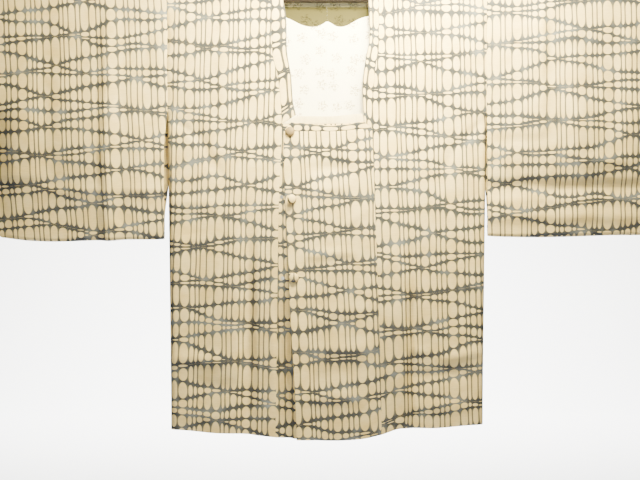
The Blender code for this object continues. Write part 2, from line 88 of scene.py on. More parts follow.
def follow(line, at):
    # a smooth curve through (place, value) rows, level past its ends and at its turns
    if at <= line[0][0]:
        return line[0][1]
    if at >= line[-1][0]:
        return line[-1][1]
    i = next(k for k in range(1, len(line)) if at <= line[k][0])
    slopes = []
    for k in (i - 1, i):
        slope = 0.0
        if 0 < k < len(line) - 1:
            before, after = line[k][1] - line[k - 1][1], line[k + 1][1] - line[k][1]
            if before * after > 0:
                slope = (before + after) / (line[k + 1][0] - line[k - 1][0])
        slopes.append(slope)
    run = line[i][0] - line[i - 1][0]
    t = (at - line[i - 1][0]) / run
    return (line[i - 1][1] * (1 + 2 * t) * (1 - t) ** 2 + slopes[0] * run * t * (1 - t) ** 2
            + line[i][1] * t * t * (3 - 2 * t) - slopes[1] * run * t * t * (1 - t))


def edgeShares(width, count):
    # shares across a piece, with close ones by its two edges for their rolled turn
    near = [d / width for d in coat["edgeSteps"]]
    middle = [mix(near[-1], 1 - near[-1], (i + 1) / count) for i in range(count - 1)]
    return near + middle + [1 - n for n in reversed(near)]


def creaseRelief(creases, xs, falls):
    # How far the creases and the cloth's own unevenness move each point outwards. A crease is
    # a row of x, fall, half length, degrees from level, width and height. A negative height is
    # a valley, a "sharp" one is pressed in, and the rest are soft.
    relief = np.zeros_like(xs)
    for x, fall, reach, degrees, width, height, *sharp in creases:
        turn = math.radians(degrees)
        dx, df = xs - x, falls - fall
        along = dx * math.cos(turn) + df * math.sin(turn)
        aside = df * math.cos(turn) - dx * math.sin(turn)
        aside += coat["wander"] * np.sin(along * 55 + x * 90)
        if isinstance(width, tuple):    # a straight slope either side, upper or right one first
            share = np.abs(aside) / np.where(aside < 0, *width)
            profile = np.clip(1 - share, 0, 1) * (1 + np.clip(share, 0, 1) * 0.25)
        else:
            profile = np.exp(-np.abs(aside / width) ** (1 if sharp else 2))
        fade = np.clip(1 - (along / reach) ** 2, 0, 1)
        relief += height * profile * fade
    broad, fine = coat["unevenness"]
    relief += broad * np.sin(xs * 61 + 2.1 * np.sin(falls * 17)) * np.sin(falls * 23 + xs * 11)
    relief += fine * np.sin(xs * 143 + falls * 37) * np.sin(falls * 71 - xs * 29)
    return relief * np.clip((np.abs(falls) - foldFall) / 0.06, 0, 1)   # none over the rod


def edgeDistance(points, axis):
    steps = np.linalg.norm(np.diff(points, axis=axis), axis=2)
    ahead = np.cumsum(steps, axis=axis)
    pad = np.zeros_like(np.take(ahead, [0], axis=axis))
    ahead = np.concatenate([pad, ahead], axis=axis)
    total = np.take(ahead, [-1], axis=axis)
    return np.minimum(ahead, total - ahead)


def makeShell(name, spots, cloth, outside, inside, creases, materials, lookOf=None,
              closed=False):
    # spots holds rows of (x, fall, point), and cloth the place of each on its length of silk.
    # In a closed shell the last row meets the first, and cloth has one row more.
    # lookOf gives the material of a face by its row, column and side.
    rows, columns = len(spots), len(spots[0])
    xs = np.array([[spot[0] for spot in row] for row in spots])
    falls = np.array([[spot[1] for spot in row] for row in spots])
    points = np.array([[spot[2] for spot in row] for row in spots])
    if closed:
        down = np.roll(points, -1, axis=0) - np.roll(points, 1, axis=0)
    else:
        down = np.gradient(points, axis=0)
    across = np.gradient(points, axis=1)
    normals = np.cross(across, down)
    normals /= np.linalg.norm(normals, axis=2, keepdims=True)
    facing = points[..., 1] * normals[..., 1]
    clearest = np.unravel_index(np.argmax(np.abs(facing)), facing.shape)
    normals *= np.sign(facing[clearest])
    fromEdge = edgeDistance(points, 1)
    if not closed:
        fromEdge = np.minimum(fromEdge, edgeDistance(points, 0))
    # folds stand out of the hanging faces only, and leave the feet and folds over the rod alone
    relief = creaseRelief(creases, xs, falls) * np.abs(normals[..., 1])
    relief -= coat["edgeRoll"] * np.exp(-fromEdge / coat["edgeReach"])
    outer = points + normals * (relief + outside)[..., None]
    inner = points + normals * (relief - inside)[..., None]
    vertices = np.concatenate([outer.reshape(-1, 3), inner.reshape(-1, 3)])
    half = rows * columns

    cloth = np.array(cloth).reshape(-1, 2)
    faces, corners, looks = [], [], []

    def addFace(places, sides, look):
        # places are (row, column), and side 0 is outside and 1 inside
        faces.append([(r % rows) * columns + c + half * s for (r, c), s in zip(places, sides)])
        corners.extend(r * columns + c for r, c in places)
        looks.append(look)

    for r in range(rows if closed else rows - 1):
        for c in range(columns - 1):
            quad = [(r, c), (r, c + 1), (r + 1, c + 1), (r + 1, c)]
            addFace(quad, (0, 0, 0, 0), lookOf(r, c, 0) if lookOf else 0)
            addFace(quad[::-1], (1, 1, 1, 1), lookOf(r, c, 1) if lookOf else 1)
        for c in (0, columns - 1):
            addFace([(r, c), (r + 1, c), (r + 1, c), (r, c)], (0, 0, 1, 1), 0)
    if not closed:
        for r in (0, rows - 1):
            for c in range(columns - 1):
                addFace([(r, c), (r, c + 1), (r, c + 1), (r, c)], (0, 0, 1, 1), 0)

    mesh = bpy.data.meshes.new(name)
    mesh.from_pydata(vertices.tolist(), [], faces)
    layer = mesh.uv_layers.new(name="cloth")
    layer.data.foreach_set("uv", cloth[corners].astype(np.float32).ravel())
    mesh.polygons.foreach_set("material_index", looks)
    shape = bmesh.new()
    shape.from_mesh(mesh)
    bmesh.ops.recalc_face_normals(shape, faces=shape.faces)
    shape.to_mesh(mesh)
    shape.free()
    mesh.shade_smooth()
    mesh.set_sharp_from_angle(angle=math.radians(50))
    piece = bpy.data.objects.new(name, mesh)
    bpy.context.collection.objects.link(piece)
    for material in materials:
        mesh.materials.append(material)
    return piece


def place(piece, node):
    # stands for its solid and moves with the coat
    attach(piece, "root")
    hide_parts(node)


def hexToLinear(code):
    values = [int(code[i:i + 2], 16) / 255 for i in (1, 3, 5)]
    return [v / 12.92 if v <= 0.04045 else ((v + 0.055) / 1.055) ** 2.4 for v in values] + [1.0]


def addNode(tree, kind, inputs=None, **settings):
    # inputs maps a socket's name or number to a value, or to an output to link from
    node = tree.nodes.new(kind)
    for name, value in settings.items():
        setattr(node, name, value)
    for key, value in (inputs or {}).items():
        if isinstance(value, bpy.types.NodeSocket):
            tree.links.new(value, node.inputs[key])
        else:
            node.inputs[key].default_value = value
    return node


def perMetre(size):
    # how many grains of a size in millimetres lie along a metre, to the nearest one
    return round(1000 / size)


def newMaterial(name):
    material = bpy.data.materials.new(name)
    material.use_nodes = True
    tree = material.node_tree
    tree.nodes.clear()
    return material, tree


# sizes are in metres, apart from the columns' widths and the last ones
lattice = {
    # widths of the columns across one 345 mm width of cloth, in millimetres
    "columns": [12, 17, 9, 14, 20, 11, 8, 13, 16, 19, 8, 10, 15, 9, 18, 14, 9, 11, 21, 16, 8,
                13, 10, 17, 12, 15],
    "lineHalf": 0.00125,       # half width of an upright line
    "rowHalf": 0.00110,        # half width of a level line, in the widest column
    "merge": 0.0021,           # two level lines closer than twice this run together
    "narrowGap": 0.0022,       # how much wider that line is in a column of no width
    "endLength": (0.0024, 1.85),   # a cell's rounded end: metres, plus a share of half its width
    "barrel": 0.35,            # how much a cell narrows from its middle to its ends
    # families of level lines: spacing, how far they swing, cells of their swing in a metre
    "families": [
        {"pitch": 0.058, "slope": 0.17, "swing": 0.85, "across": 5.8, "along": 6.0, "seed": 3.0},
        {"pitch": 0.067, "slope": -0.18, "swing": 0.90, "across": 6.4, "along": 5.2, "seed": 11.0},
        {"pitch": 0.080, "slope": 0.02, "swing": 0.80, "across": 5.0, "along": 7.3, "seed": 27.0},
    ],
    "ground": "#e9d398",
    "groundDeep": "#dec482",
    "inkDark": "#3f4246",
    "inkPale": "#7e8488",
    "inkUpright": "#6a6558",   # the upright lines are drawn lighter than the rows
    # strong light round the neck would bleach the grey, so it is drawn deeper there: not a
    # property of the cloth, and "deepest" 1.0 leaves it even all over
    "deepestAt": (0.035, -0.030, -0.200),
    "deepest": 0.42,
    "deepReach": (0.08, 0.40),
    # from here the sizes are in millimetres
    "waverLength": 71.4,       # the columns waver over this length of cloth
    "waver": 0.0040,           # by this much, in metres
    "stepping": 0.75,          # 1 makes a level line step from column to column, 0 slope evenly
    "raggedStep": 1.111,       # the steps of a cell's woven edge
    "ragged": 0.22,
    "greyPatch": 52.6,         # patches where the grey is paler
    "creamPatch": 38.5,        # patches where the cream is deeper
    "slubSpacing": 2.0,        # coarser than real wefts, so that it shows
    "slubLength": 16.7,
    "crepeGrain": 1.428,       # coarser than real crepe, so that it shows
    "groundRough": 0.62,
    "inkRough": 0.46,
    "plainGround": ("#efe0b6", "#e4d2a2"),     # a stretch with almost none of the figure
    "buttonGround": ("#86734f", "#756341"),    # the plainer tan scrap of the first button
}
clothWidth = sum(lattice["columns"]) / 1000


def makeLatticeSilk(name, ground, groundDeep, figure=1.0, bold=1.0):
    # Figured silk, yarn dyed and jacquard woven: a soft matt cream ground with rounded
    # cells, parted by lines of a smoother grey thread that catches the light a little more
    material, tree = newMaterial(name)
    uv = addNode(tree, "ShaderNodeUVMap", uv_map="cloth")
    parts = addNode(tree, "ShaderNodeSeparateXYZ", {0: uv.outputs[0]})
    across, along = parts.outputs[0], parts.outputs[1]

    # the columns: a curve turns the place across the cloth into a count of columns
    widths = lattice["columns"]
    waver = addNode(tree, "ShaderNodeTexNoise",
                    {"Vector": uv.outputs[0], "Scale": perMetre(lattice["waverLength"]),
                     "Detail": 1.0})
    bent = addNode(tree, "ShaderNodeMath", {0: waver.outputs[0], 1: lattice["waver"], 2: across},
                   operation="MULTIPLY_ADD")
    share = addNode(tree, "ShaderNodeMath", {0: bent.outputs[0], 1: clothWidth}, operation="DIVIDE")
    share = addNode(tree, "ShaderNodeMath", {0: share.outputs[0]}, operation="FRACT")
    count = addNode(tree, "ShaderNodeFloatCurve", {"Value": share.outputs[0]})
    width = addNode(tree, "ShaderNodeFloatCurve", {"Value": share.outputs[0]})
    widest = max(widths)
    done = 0
    for number, step in enumerate(widths):
        start, end = done / sum(widths), (done + step) / sum(widths)
        done += step
        if number + 1 < len(widths):
            count.mapping.curves[0].points.new(end, (number + 1) / len(widths))
        inset = 0.0005
        for spot in (start + inset, end - inset):
            width.mapping.curves[0].points.new(spot, step / widest)
    for curve in (count, width):
        for point in curve.mapping.curves[0].points:
            point.handle_type = "VECTOR"
        curve.mapping.update()
    ends = width.mapping.curves[0].points
    ends[0].location[1] = widths[0] / widest
    ends[len(ends) - 1].location[1] = widths[-1] / widest
    width.mapping.update()
    counted = addNode(tree, "ShaderNodeMath", {0: count.outputs[0], 1: float(len(widths))},
                      operation="MULTIPLY")
    inColumn = addNode(tree, "ShaderNodeMath", {0: counted.outputs[0]}, operation="FRACT")
    offCentre = addNode(tree, "ShaderNodeMath",
                        {0: inColumn.outputs[0], 1: 0.5}, operation="SUBTRACT")
    columnWidth = addNode(tree, "ShaderNodeMath", {0: width.outputs[0], 1: widest / 1000},
                          operation="MULTIPLY")
    offset = addNode(tree, "ShaderNodeMath", {0: offCentre.outputs[0], 1: columnWidth.outputs[0]},
                     operation="MULTIPLY")
    # level lines are read mostly at the column's middle, so they step from column to column
    stepped = addNode(tree, "ShaderNodeMath",
                      {0: offset.outputs[0], 1: -lattice["stepping"], 2: across},
                      operation="MULTIPLY_ADD")

    # the level lines: distance to the nearest one above and below
    above = below = None
    for family in lattice["families"]:
        x = addNode(tree, "ShaderNodeMath", {0: stepped.outputs[0], 1: family["across"]},
                    operation="MULTIPLY")
        y = addNode(tree, "ShaderNodeMath", {0: along, 1: family["along"]}, operation="MULTIPLY")
        spot = addNode(tree, "ShaderNodeCombineXYZ",
                       {0: x.outputs[0], 1: y.outputs[0], 2: family["seed"]})
        swing = addNode(tree, "ShaderNodeTexNoise",
                        {"Vector": spot.outputs[0], "Scale": 1.0, "Detail": 1.2, "Roughness": 0.45})
        level = addNode(tree, "ShaderNodeMath",
                        {0: stepped.outputs[0], 1: family["slope"], 2: along},
                        operation="MULTIPLY_ADD")
        level = addNode(tree, "ShaderNodeMath", {0: level.outputs[0], 1: family["pitch"]},
                        operation="DIVIDE")
        level = addNode(tree, "ShaderNodeMath",
                        {0: swing.outputs[0], 1: family["swing"], 2: level.outputs[0]},
                        operation="MULTIPLY_ADD")
        turn = addNode(tree, "ShaderNodeMath", {0: level.outputs[0]}, operation="FRACT")
        up = addNode(tree, "ShaderNodeMath", {0: turn.outputs[0], 1: family["pitch"]},
                     operation="MULTIPLY")
        down = addNode(tree, "ShaderNodeMath", {0: family["pitch"], 1: up.outputs[0]},
                       operation="SUBTRACT")
        if above is None:
            above, below = up, down
        else:
            above = addNode(tree, "ShaderNodeMath", {0: above.outputs[0], 1: up.outputs[0]},
                            operation="MINIMUM")
            below = addNode(tree, "ShaderNodeMath", {0: below.outputs[0], 1: down.outputs[0]},
                            operation="MINIMUM")
    height = addNode(tree, "ShaderNodeMath",
                     {0: above.outputs[0], 1: below.outputs[0]}, operation="ADD")
    lean = addNode(tree, "ShaderNodeMath", {0: above.outputs[0], 1: below.outputs[0]},
                   operation="SUBTRACT")
    lean = addNode(tree, "ShaderNodeMath", {0: lean.outputs[0]}, operation="ABSOLUTE")

    # each cell is upright with rounded ends: (x / half width)^2 + (y past the straight)^2 < 1
    gapHere = addNode(tree, "ShaderNodeMath",
                      {0: width.outputs[0], 1: lattice["narrowGap"],
                       2: -lattice["rowHalf"] * bold - lattice["narrowGap"]},
                      operation="MULTIPLY_ADD")
    halfHeight = addNode(tree, "ShaderNodeMath",
                         {0: height.outputs[0], 1: 0.5, 2: gapHere.outputs[0]},
                         operation="MULTIPLY_ADD")
    apart = addNode(tree, "ShaderNodeMath", {0: height.outputs[0], 1: lattice["merge"] * 2},
                    operation="GREATER_THAN")
    halfHeight = addNode(tree, "ShaderNodeMath", {0: halfHeight.outputs[0], 1: apart.outputs[0]},
                         operation="MULTIPLY")
    halfHeight = addNode(tree, "ShaderNodeMath", {0: halfHeight.outputs[0], 1: 0.0001},
                         operation="MAXIMUM")
    halfWidth = addNode(tree, "ShaderNodeMath",
                        {0: columnWidth.outputs[0], 1: 0.5, 2: -lattice["lineHalf"] * bold},
                        operation="MULTIPLY_ADD")
    end = addNode(tree, "ShaderNodeMath",
                  {0: halfWidth.outputs[0], 1: lattice["endLength"][1],
                   2: lattice["endLength"][0]}, operation="MULTIPLY_ADD")
    end = addNode(tree, "ShaderNodeMath", {0: end.outputs[0], 1: halfHeight.outputs[0]},
                  operation="MINIMUM")
    straight = addNode(tree, "ShaderNodeMath", {0: halfHeight.outputs[0], 1: end.outputs[0]},
                       operation="SUBTRACT")
    past = addNode(tree, "ShaderNodeMath", {0: lean.outputs[0], 1: 0.5}, operation="MULTIPLY")
    past = addNode(tree, "ShaderNodeMath", {0: past.outputs[0], 1: straight.outputs[0]},
                   operation="SUBTRACT")
    past = addNode(tree, "ShaderNodeMath", {0: past.outputs[0], 1: 0.0}, operation="MAXIMUM")
    past = addNode(tree, "ShaderNodeMath",
                   {0: past.outputs[0], 1: end.outputs[0]}, operation="DIVIDE")
    past = addNode(tree, "ShaderNodeMath", {0: past.outputs[0], 1: 2.0}, operation="POWER")
    aside = addNode(tree, "ShaderNodeMath", {0: offset.outputs[0]}, operation="ABSOLUTE")
    aside = addNode(tree, "ShaderNodeMath", {0: aside.outputs[0], 1: halfWidth.outputs[0]},
                    operation="DIVIDE")
    aside = addNode(tree, "ShaderNodeMath", {0: aside.outputs[0], 1: 2.0}, operation="POWER")
    rim = addNode(tree, "ShaderNodeMath",
                  {0: past.outputs[0], 1: 1 - lattice["barrel"], 2: aside.outputs[0]},
                  operation="MULTIPLY_ADD")
    out = addNode(tree, "ShaderNodeMath", {0: lean.outputs[0], 1: halfHeight.outputs[0]},
                  operation="DIVIDE")
    out = addNode(tree, "ShaderNodeMath", {0: out.outputs[0], 1: 0.5}, operation="MULTIPLY")
    out = addNode(tree, "ShaderNodeMath", {0: out.outputs[0], 1: 4.0}, operation="POWER")
    rim = addNode(tree, "ShaderNodeMath",
                  {0: out.outputs[0], 1: lattice["barrel"], 2: rim.outputs[0]},
                  operation="MULTIPLY_ADD")
    # the woven edge of a cell is a little ragged
    ragged = addNode(tree, "ShaderNodeTexNoise",
                     {"Vector": uv.outputs[0], "Scale": perMetre(lattice["raggedStep"]),
                      "Detail": 1.0})
    rim = addNode(tree, "ShaderNodeMath",
                  {0: ragged.outputs[0], 1: lattice["ragged"], 2: rim.outputs[0]},
                  operation="MULTIPLY_ADD")
    ink = addNode(tree, "ShaderNodeMapRange",
                  {"Value": rim.outputs[0], "From Min": 0.96, "From Max": 1.20, "To Max": figure},
                  interpolation_type="SMOOTHSTEP")

    # colours: the grey drifts in patches, and each cell's cream differs a little
    patch = addNode(tree, "ShaderNodeTexNoise",
                    {"Vector": uv.outputs[0], "Scale": perMetre(lattice["greyPatch"]),
                     "Detail": 2.0})
    patch = addNode(tree, "ShaderNodeMapRange",
                    {"Value": patch.outputs[0], "From Min": 0.50, "From Max": 0.76})
    grey = addNode(tree, "ShaderNodeMix",
                   {0: patch.outputs[0], 6: hexToLinear(lattice["inkDark"]),
                    7: hexToLinear(lattice["inkPale"])}, data_type="RGBA")
    node = addNode(tree, "ShaderNodeMapRange",
                   {"Value": past.outputs[0], "From Min": 0.20, "From Max": 0.85})
    grey = addNode(tree, "ShaderNodeMix",
                   {0: node.outputs[0], 6: hexToLinear(lattice["inkUpright"]), 7: grey.outputs[2]},
                   data_type="RGBA")
    # painted shade: the grey is drawn darker round the neck, where the light is strongest
    onCoat = addNode(tree, "ShaderNodeNewGeometry")
    fromNeck = addNode(tree, "ShaderNodeVectorMath",
                       {0: onCoat.outputs["Position"], 1: lattice["deepestAt"]},
                       operation="DISTANCE")
    depth = addNode(tree, "ShaderNodeMapRange",
                    {"Value": fromNeck.outputs["Value"], "From Min": lattice["deepReach"][0],
                     "From Max": lattice["deepReach"][1], "To Min": lattice["deepest"]},
                    interpolation_type="SMOOTHSTEP")
    grey = addNode(tree, "ShaderNodeVectorMath", {0: grey.outputs[2], "Scale": depth.outputs[0]},
                   operation="SCALE")
    cell = addNode(tree, "ShaderNodeTexNoise",
                   {"Vector": uv.outputs[0], "Scale": perMetre(lattice["creamPatch"]),
                    "Detail": 2.0})
    cell = addNode(tree, "ShaderNodeMapRange",
                   {"Value": cell.outputs[0], "From Min": 0.35, "From Max": 0.68})
    cream = addNode(tree, "ShaderNodeMix",
                    {0: cell.outputs[0], 6: hexToLinear(ground), 7: hexToLinear(groundDeep)},
                    data_type="RGBA")
    # slubs are thicker wefts, drawn coarse enough to show
    stretch = addNode(tree, "ShaderNodeMapping",
                      {"Vector": uv.outputs[0],
                       "Scale": (perMetre(lattice["slubLength"]),
                                 perMetre(lattice["slubSpacing"]), 1)})
    slub = addNode(tree, "ShaderNodeTexNoise",
                   {"Vector": stretch.outputs[0], "Scale": 1.0, "Detail": 2.0})
    slubTone = addNode(tree, "ShaderNodeMapRange",
                       {"Value": slub.outputs[0], "From Min": 0.3, "From Max": 0.7,
                        "To Min": 0.94, "To Max": 1.04})
    both = addNode(tree, "ShaderNodeMix",
                   {0: ink.outputs[0], 6: cream.outputs[2], 7: grey.outputs[0]},
                   data_type="RGBA")
    colour = addNode(tree, "ShaderNodeVectorMath",
                     {0: both.outputs[2], "Scale": slubTone.outputs[0]},
                     operation="SCALE")
    rough = addNode(tree, "ShaderNodeMapRange",
                    {"Value": ink.outputs[0], "To Min": lattice["groundRough"],
                     "To Max": lattice["inkRough"]})

    # the figure stands just proud of the ground, over a fine crepe grain
    grain = addNode(tree, "ShaderNodeTexNoise",
                    {"Vector": uv.outputs[0], "Scale": perMetre(lattice["crepeGrain"]),
                     "Detail": 2.0})
    relief = addNode(tree, "ShaderNodeMath", {0: ink.outputs[0], 1: -0.6, 2: grain.outputs[0]},
                     operation="MULTIPLY_ADD")
    relief = addNode(tree, "ShaderNodeMath", {0: slub.outputs[0], 1: 0.7, 2: relief.outputs[0]},
                     operation="MULTIPLY_ADD")
    bump = addNode(tree, "ShaderNodeBump",
                   {"Strength": 0.35, "Distance": 0.0004, "Height": relief.outputs[0]})
    shader = addNode(tree, "ShaderNodeBsdfPrincipled",
                     {"Base Color": colour.outputs[0], "Roughness": rough.outputs[0],
                      "IOR": 1.54, "Specular IOR Level": 0.25,
                      "Sheen Weight": 0.05, "Sheen Roughness": 0.45,
                      "Sheen Tint": hexToLinear("#e6c08a"),
                      "Normal": bump.outputs[0]})
    addNode(tree, "ShaderNodeOutputMaterial", {0: shader.outputs[0]})
    return material


satin = {
    "base": "#fdf9ea",
    "figure": "#b0a27e",
    "figureMix": 0.90,
    # painted shadow: the colours of the lining in the shade under the neck
    "gold": "#3b3820",
    "goldLow": "#46432a",
    # painted light: paler, so that the rod's own shadow on it comes out no darker than the painted
    # shadow
    "goldShaded": "#ebe1b0",   # the pale line right under the neck fold
    "goldFigure": 0.40,        # how dark the flowers stand on the gold
    "motifSpacing": 0.034,
    "motifRadius": 0.0120,
    # in millimetres, all coarser than real floats and threads, so that they show
    "floatLength": 3.03,
    "threadSpacing": 0.6667,
    "threadLength": 11.1,
    # lower edge of the painted shadow under the neck, a dull gold stretch, as (x, fall) from the
    # centre seam
    "paintedShadow": [(-0.100, 0.045), (-0.084, 0.0500), (-0.070, 0.0560), (-0.055, 0.0637),
               (-0.042, 0.0682), (-0.030, 0.0696), (-0.018, 0.0678), (-0.008, 0.0632),
               (-0.002, 0.0592), (0.002, 0.0588), (0.009, 0.0622), (0.018, 0.0676),
               (0.028, 0.0694), (0.040, 0.0668), (0.053, 0.0598), (0.066, 0.0530),
               (0.080, 0.0485), (0.100, 0.046)],
}


def makeLiningSatin(name, paintedShadow):
    # Figured lining silk, satin woven: smooth and bright, with small flowers of the same
    # thread turned the other way, so they show only as a slight change of tone
    material, tree = newMaterial(name)
    uv = addNode(tree, "ShaderNodeUVMap", uv_map="cloth")
    spot = addNode(tree, "ShaderNodeTexVoronoi",
                   {"Vector": uv.outputs[0], "Scale": 1 / satin["motifSpacing"],
                    "Randomness": 0.55},
                   voronoi_dimensions="2D")
    away = addNode(tree, "ShaderNodeVectorMath", {0: uv.outputs[0], 1: spot.outputs["Position"]},
                   operation="SUBTRACT")
    parts = addNode(tree, "ShaderNodeSeparateXYZ", {0: away.outputs[0]})
    angle = addNode(tree, "ShaderNodeMath", {0: parts.outputs[1], 1: parts.outputs[0]},
                    operation="ARCTAN2")
    petals = addNode(tree, "ShaderNodeMath", {0: angle.outputs[0], 1: 2.5}, operation="MULTIPLY")
    petals = addNode(tree, "ShaderNodeMath", {0: petals.outputs[0]}, operation="COSINE")
    petals = addNode(tree, "ShaderNodeMath", {0: petals.outputs[0]}, operation="ABSOLUTE")
    reach = satin["motifRadius"] / satin["motifSpacing"]
    edge = addNode(tree, "ShaderNodeMath", {0: petals.outputs[0], 1: reach * 0.5, 2: reach * 0.5},
                   operation="MULTIPLY_ADD")
    inside = addNode(tree, "ShaderNodeMath", {0: edge.outputs[0], 1: spot.outputs["Distance"]},
                     operation="SUBTRACT")
    flower = addNode(tree, "ShaderNodeMapRange",
                     {"Value": inside.outputs[0], "From Min": -0.04, "From Max": 0.05})
    # the weave breaks each flower into short floats
    floats = addNode(tree, "ShaderNodeTexNoise",
                     {"Vector": uv.outputs[0], "Scale": perMetre(satin["floatLength"]),
                      "Detail": 1.0})
    floats = addNode(tree, "ShaderNodeMapRange",
                     {"Value": floats.outputs[0], "From Min": 0.47, "From Max": 0.57})
    flower = addNode(tree, "ShaderNodeMath", {0: flower.outputs[0], 1: floats.outputs[0]},
                     operation="MULTIPLY")
    if paintedShadow:
        # painted shadow: the lining in the shade of the neck fold is drawn dull gold, and palest
        # right under the fold, where the rod's own shadow falls
        onSilk = addNode(tree, "ShaderNodeSeparateXYZ", {0: uv.outputs[0]})
        shaded = addNode(tree, "ShaderNodeMapRange",
                         {"Value": onSilk.outputs[1], "From Min": -0.0302, "From Max": -0.0268})
        low = addNode(tree, "ShaderNodeMapRange",
                      {"Value": onSilk.outputs[1], "From Min": -0.034, "From Max": -0.072})
        gold = addNode(tree, "ShaderNodeMix",
                       {0: low.outputs[0], 6: hexToLinear(satin["gold"]),
                        7: hexToLinear(satin["goldLow"])}, data_type="RGBA")
        gold = addNode(tree, "ShaderNodeMix",
                       {0: shaded.outputs[0], 6: gold.outputs[2],
                        7: hexToLinear(satin["goldShaded"])}, data_type="RGBA")
        darker = addNode(tree, "ShaderNodeMath",
                         {0: flower.outputs[0], 1: satin["goldFigure"] - 1, 2: 1.0},
                         operation="MULTIPLY_ADD")
        tone = addNode(tree, "ShaderNodeVectorMath",
                       {0: gold.outputs[2], "Scale": darker.outputs[0]},
                       operation="SCALE")
    else:
        figured = addNode(tree, "ShaderNodeMath", {0: flower.outputs[0], 1: satin["figureMix"]},
                          operation="MULTIPLY")
        tone = addNode(tree, "ShaderNodeMix",
                       {0: figured.outputs[0], 6: hexToLinear(satin["base"]),
                        7: hexToLinear(satin["figure"])}, data_type="RGBA")
    grain = addNode(tree, "ShaderNodeMapping",
                    {"Vector": uv.outputs[0],
                     "Scale": (perMetre(satin["threadSpacing"]),
                               perMetre(satin["threadLength"]), 1)})
    thread = addNode(tree, "ShaderNodeTexNoise",
                     {"Vector": grain.outputs[0], "Scale": 1.0, "Detail": 1.0})
    bump = addNode(tree, "ShaderNodeBump",
                   {"Strength": 0.12, "Distance": 0.0003, "Height": thread.outputs[0]})
    # the painted shadow stretch is matt and the rest glossy
    shader = addNode(tree, "ShaderNodeBsdfPrincipled",
                     {"Base Color": tone.outputs[0 if paintedShadow else 2], "Normal": bump.outputs[0],
                      "Roughness": 0.85 if paintedShadow else 0.38, "IOR": 1.54,
                      "Specular IOR Level": 0.08 if paintedShadow else 0.5,
                      "Sheen Weight": 0.0 if paintedShadow else 0.05})
    addNode(tree, "ShaderNodeOutputMaterial", {0: shader.outputs[0]})
    return material


latticeSilk = makeLatticeSilk("figuredLatticeSilk", lattice["ground"], lattice["groundDeep"])
# the bands lie in the strongest light, so their lines are drawn bolder than they are, to show
bandSilk = makeLatticeSilk("bandLatticeSilk", lattice["ground"], lattice["groundDeep"], bold=1.35)
plainSilk = makeLatticeSilk("plainGroundSilk", *lattice["plainGround"], figure=0.08)
buttonSilk = makeLatticeSilk("buttonSilk", *lattice["buttonGround"], figure=0.10)
liningSatin = makeLiningSatin("figuredLiningSatin", False)
# painted shadow: the lining under the neck is drawn dull gold, standing for the shade of the neck
# fold
paintedShadowSatin = makeLiningSatin("paintedShadowLiningSatin", True)
print("silks made")

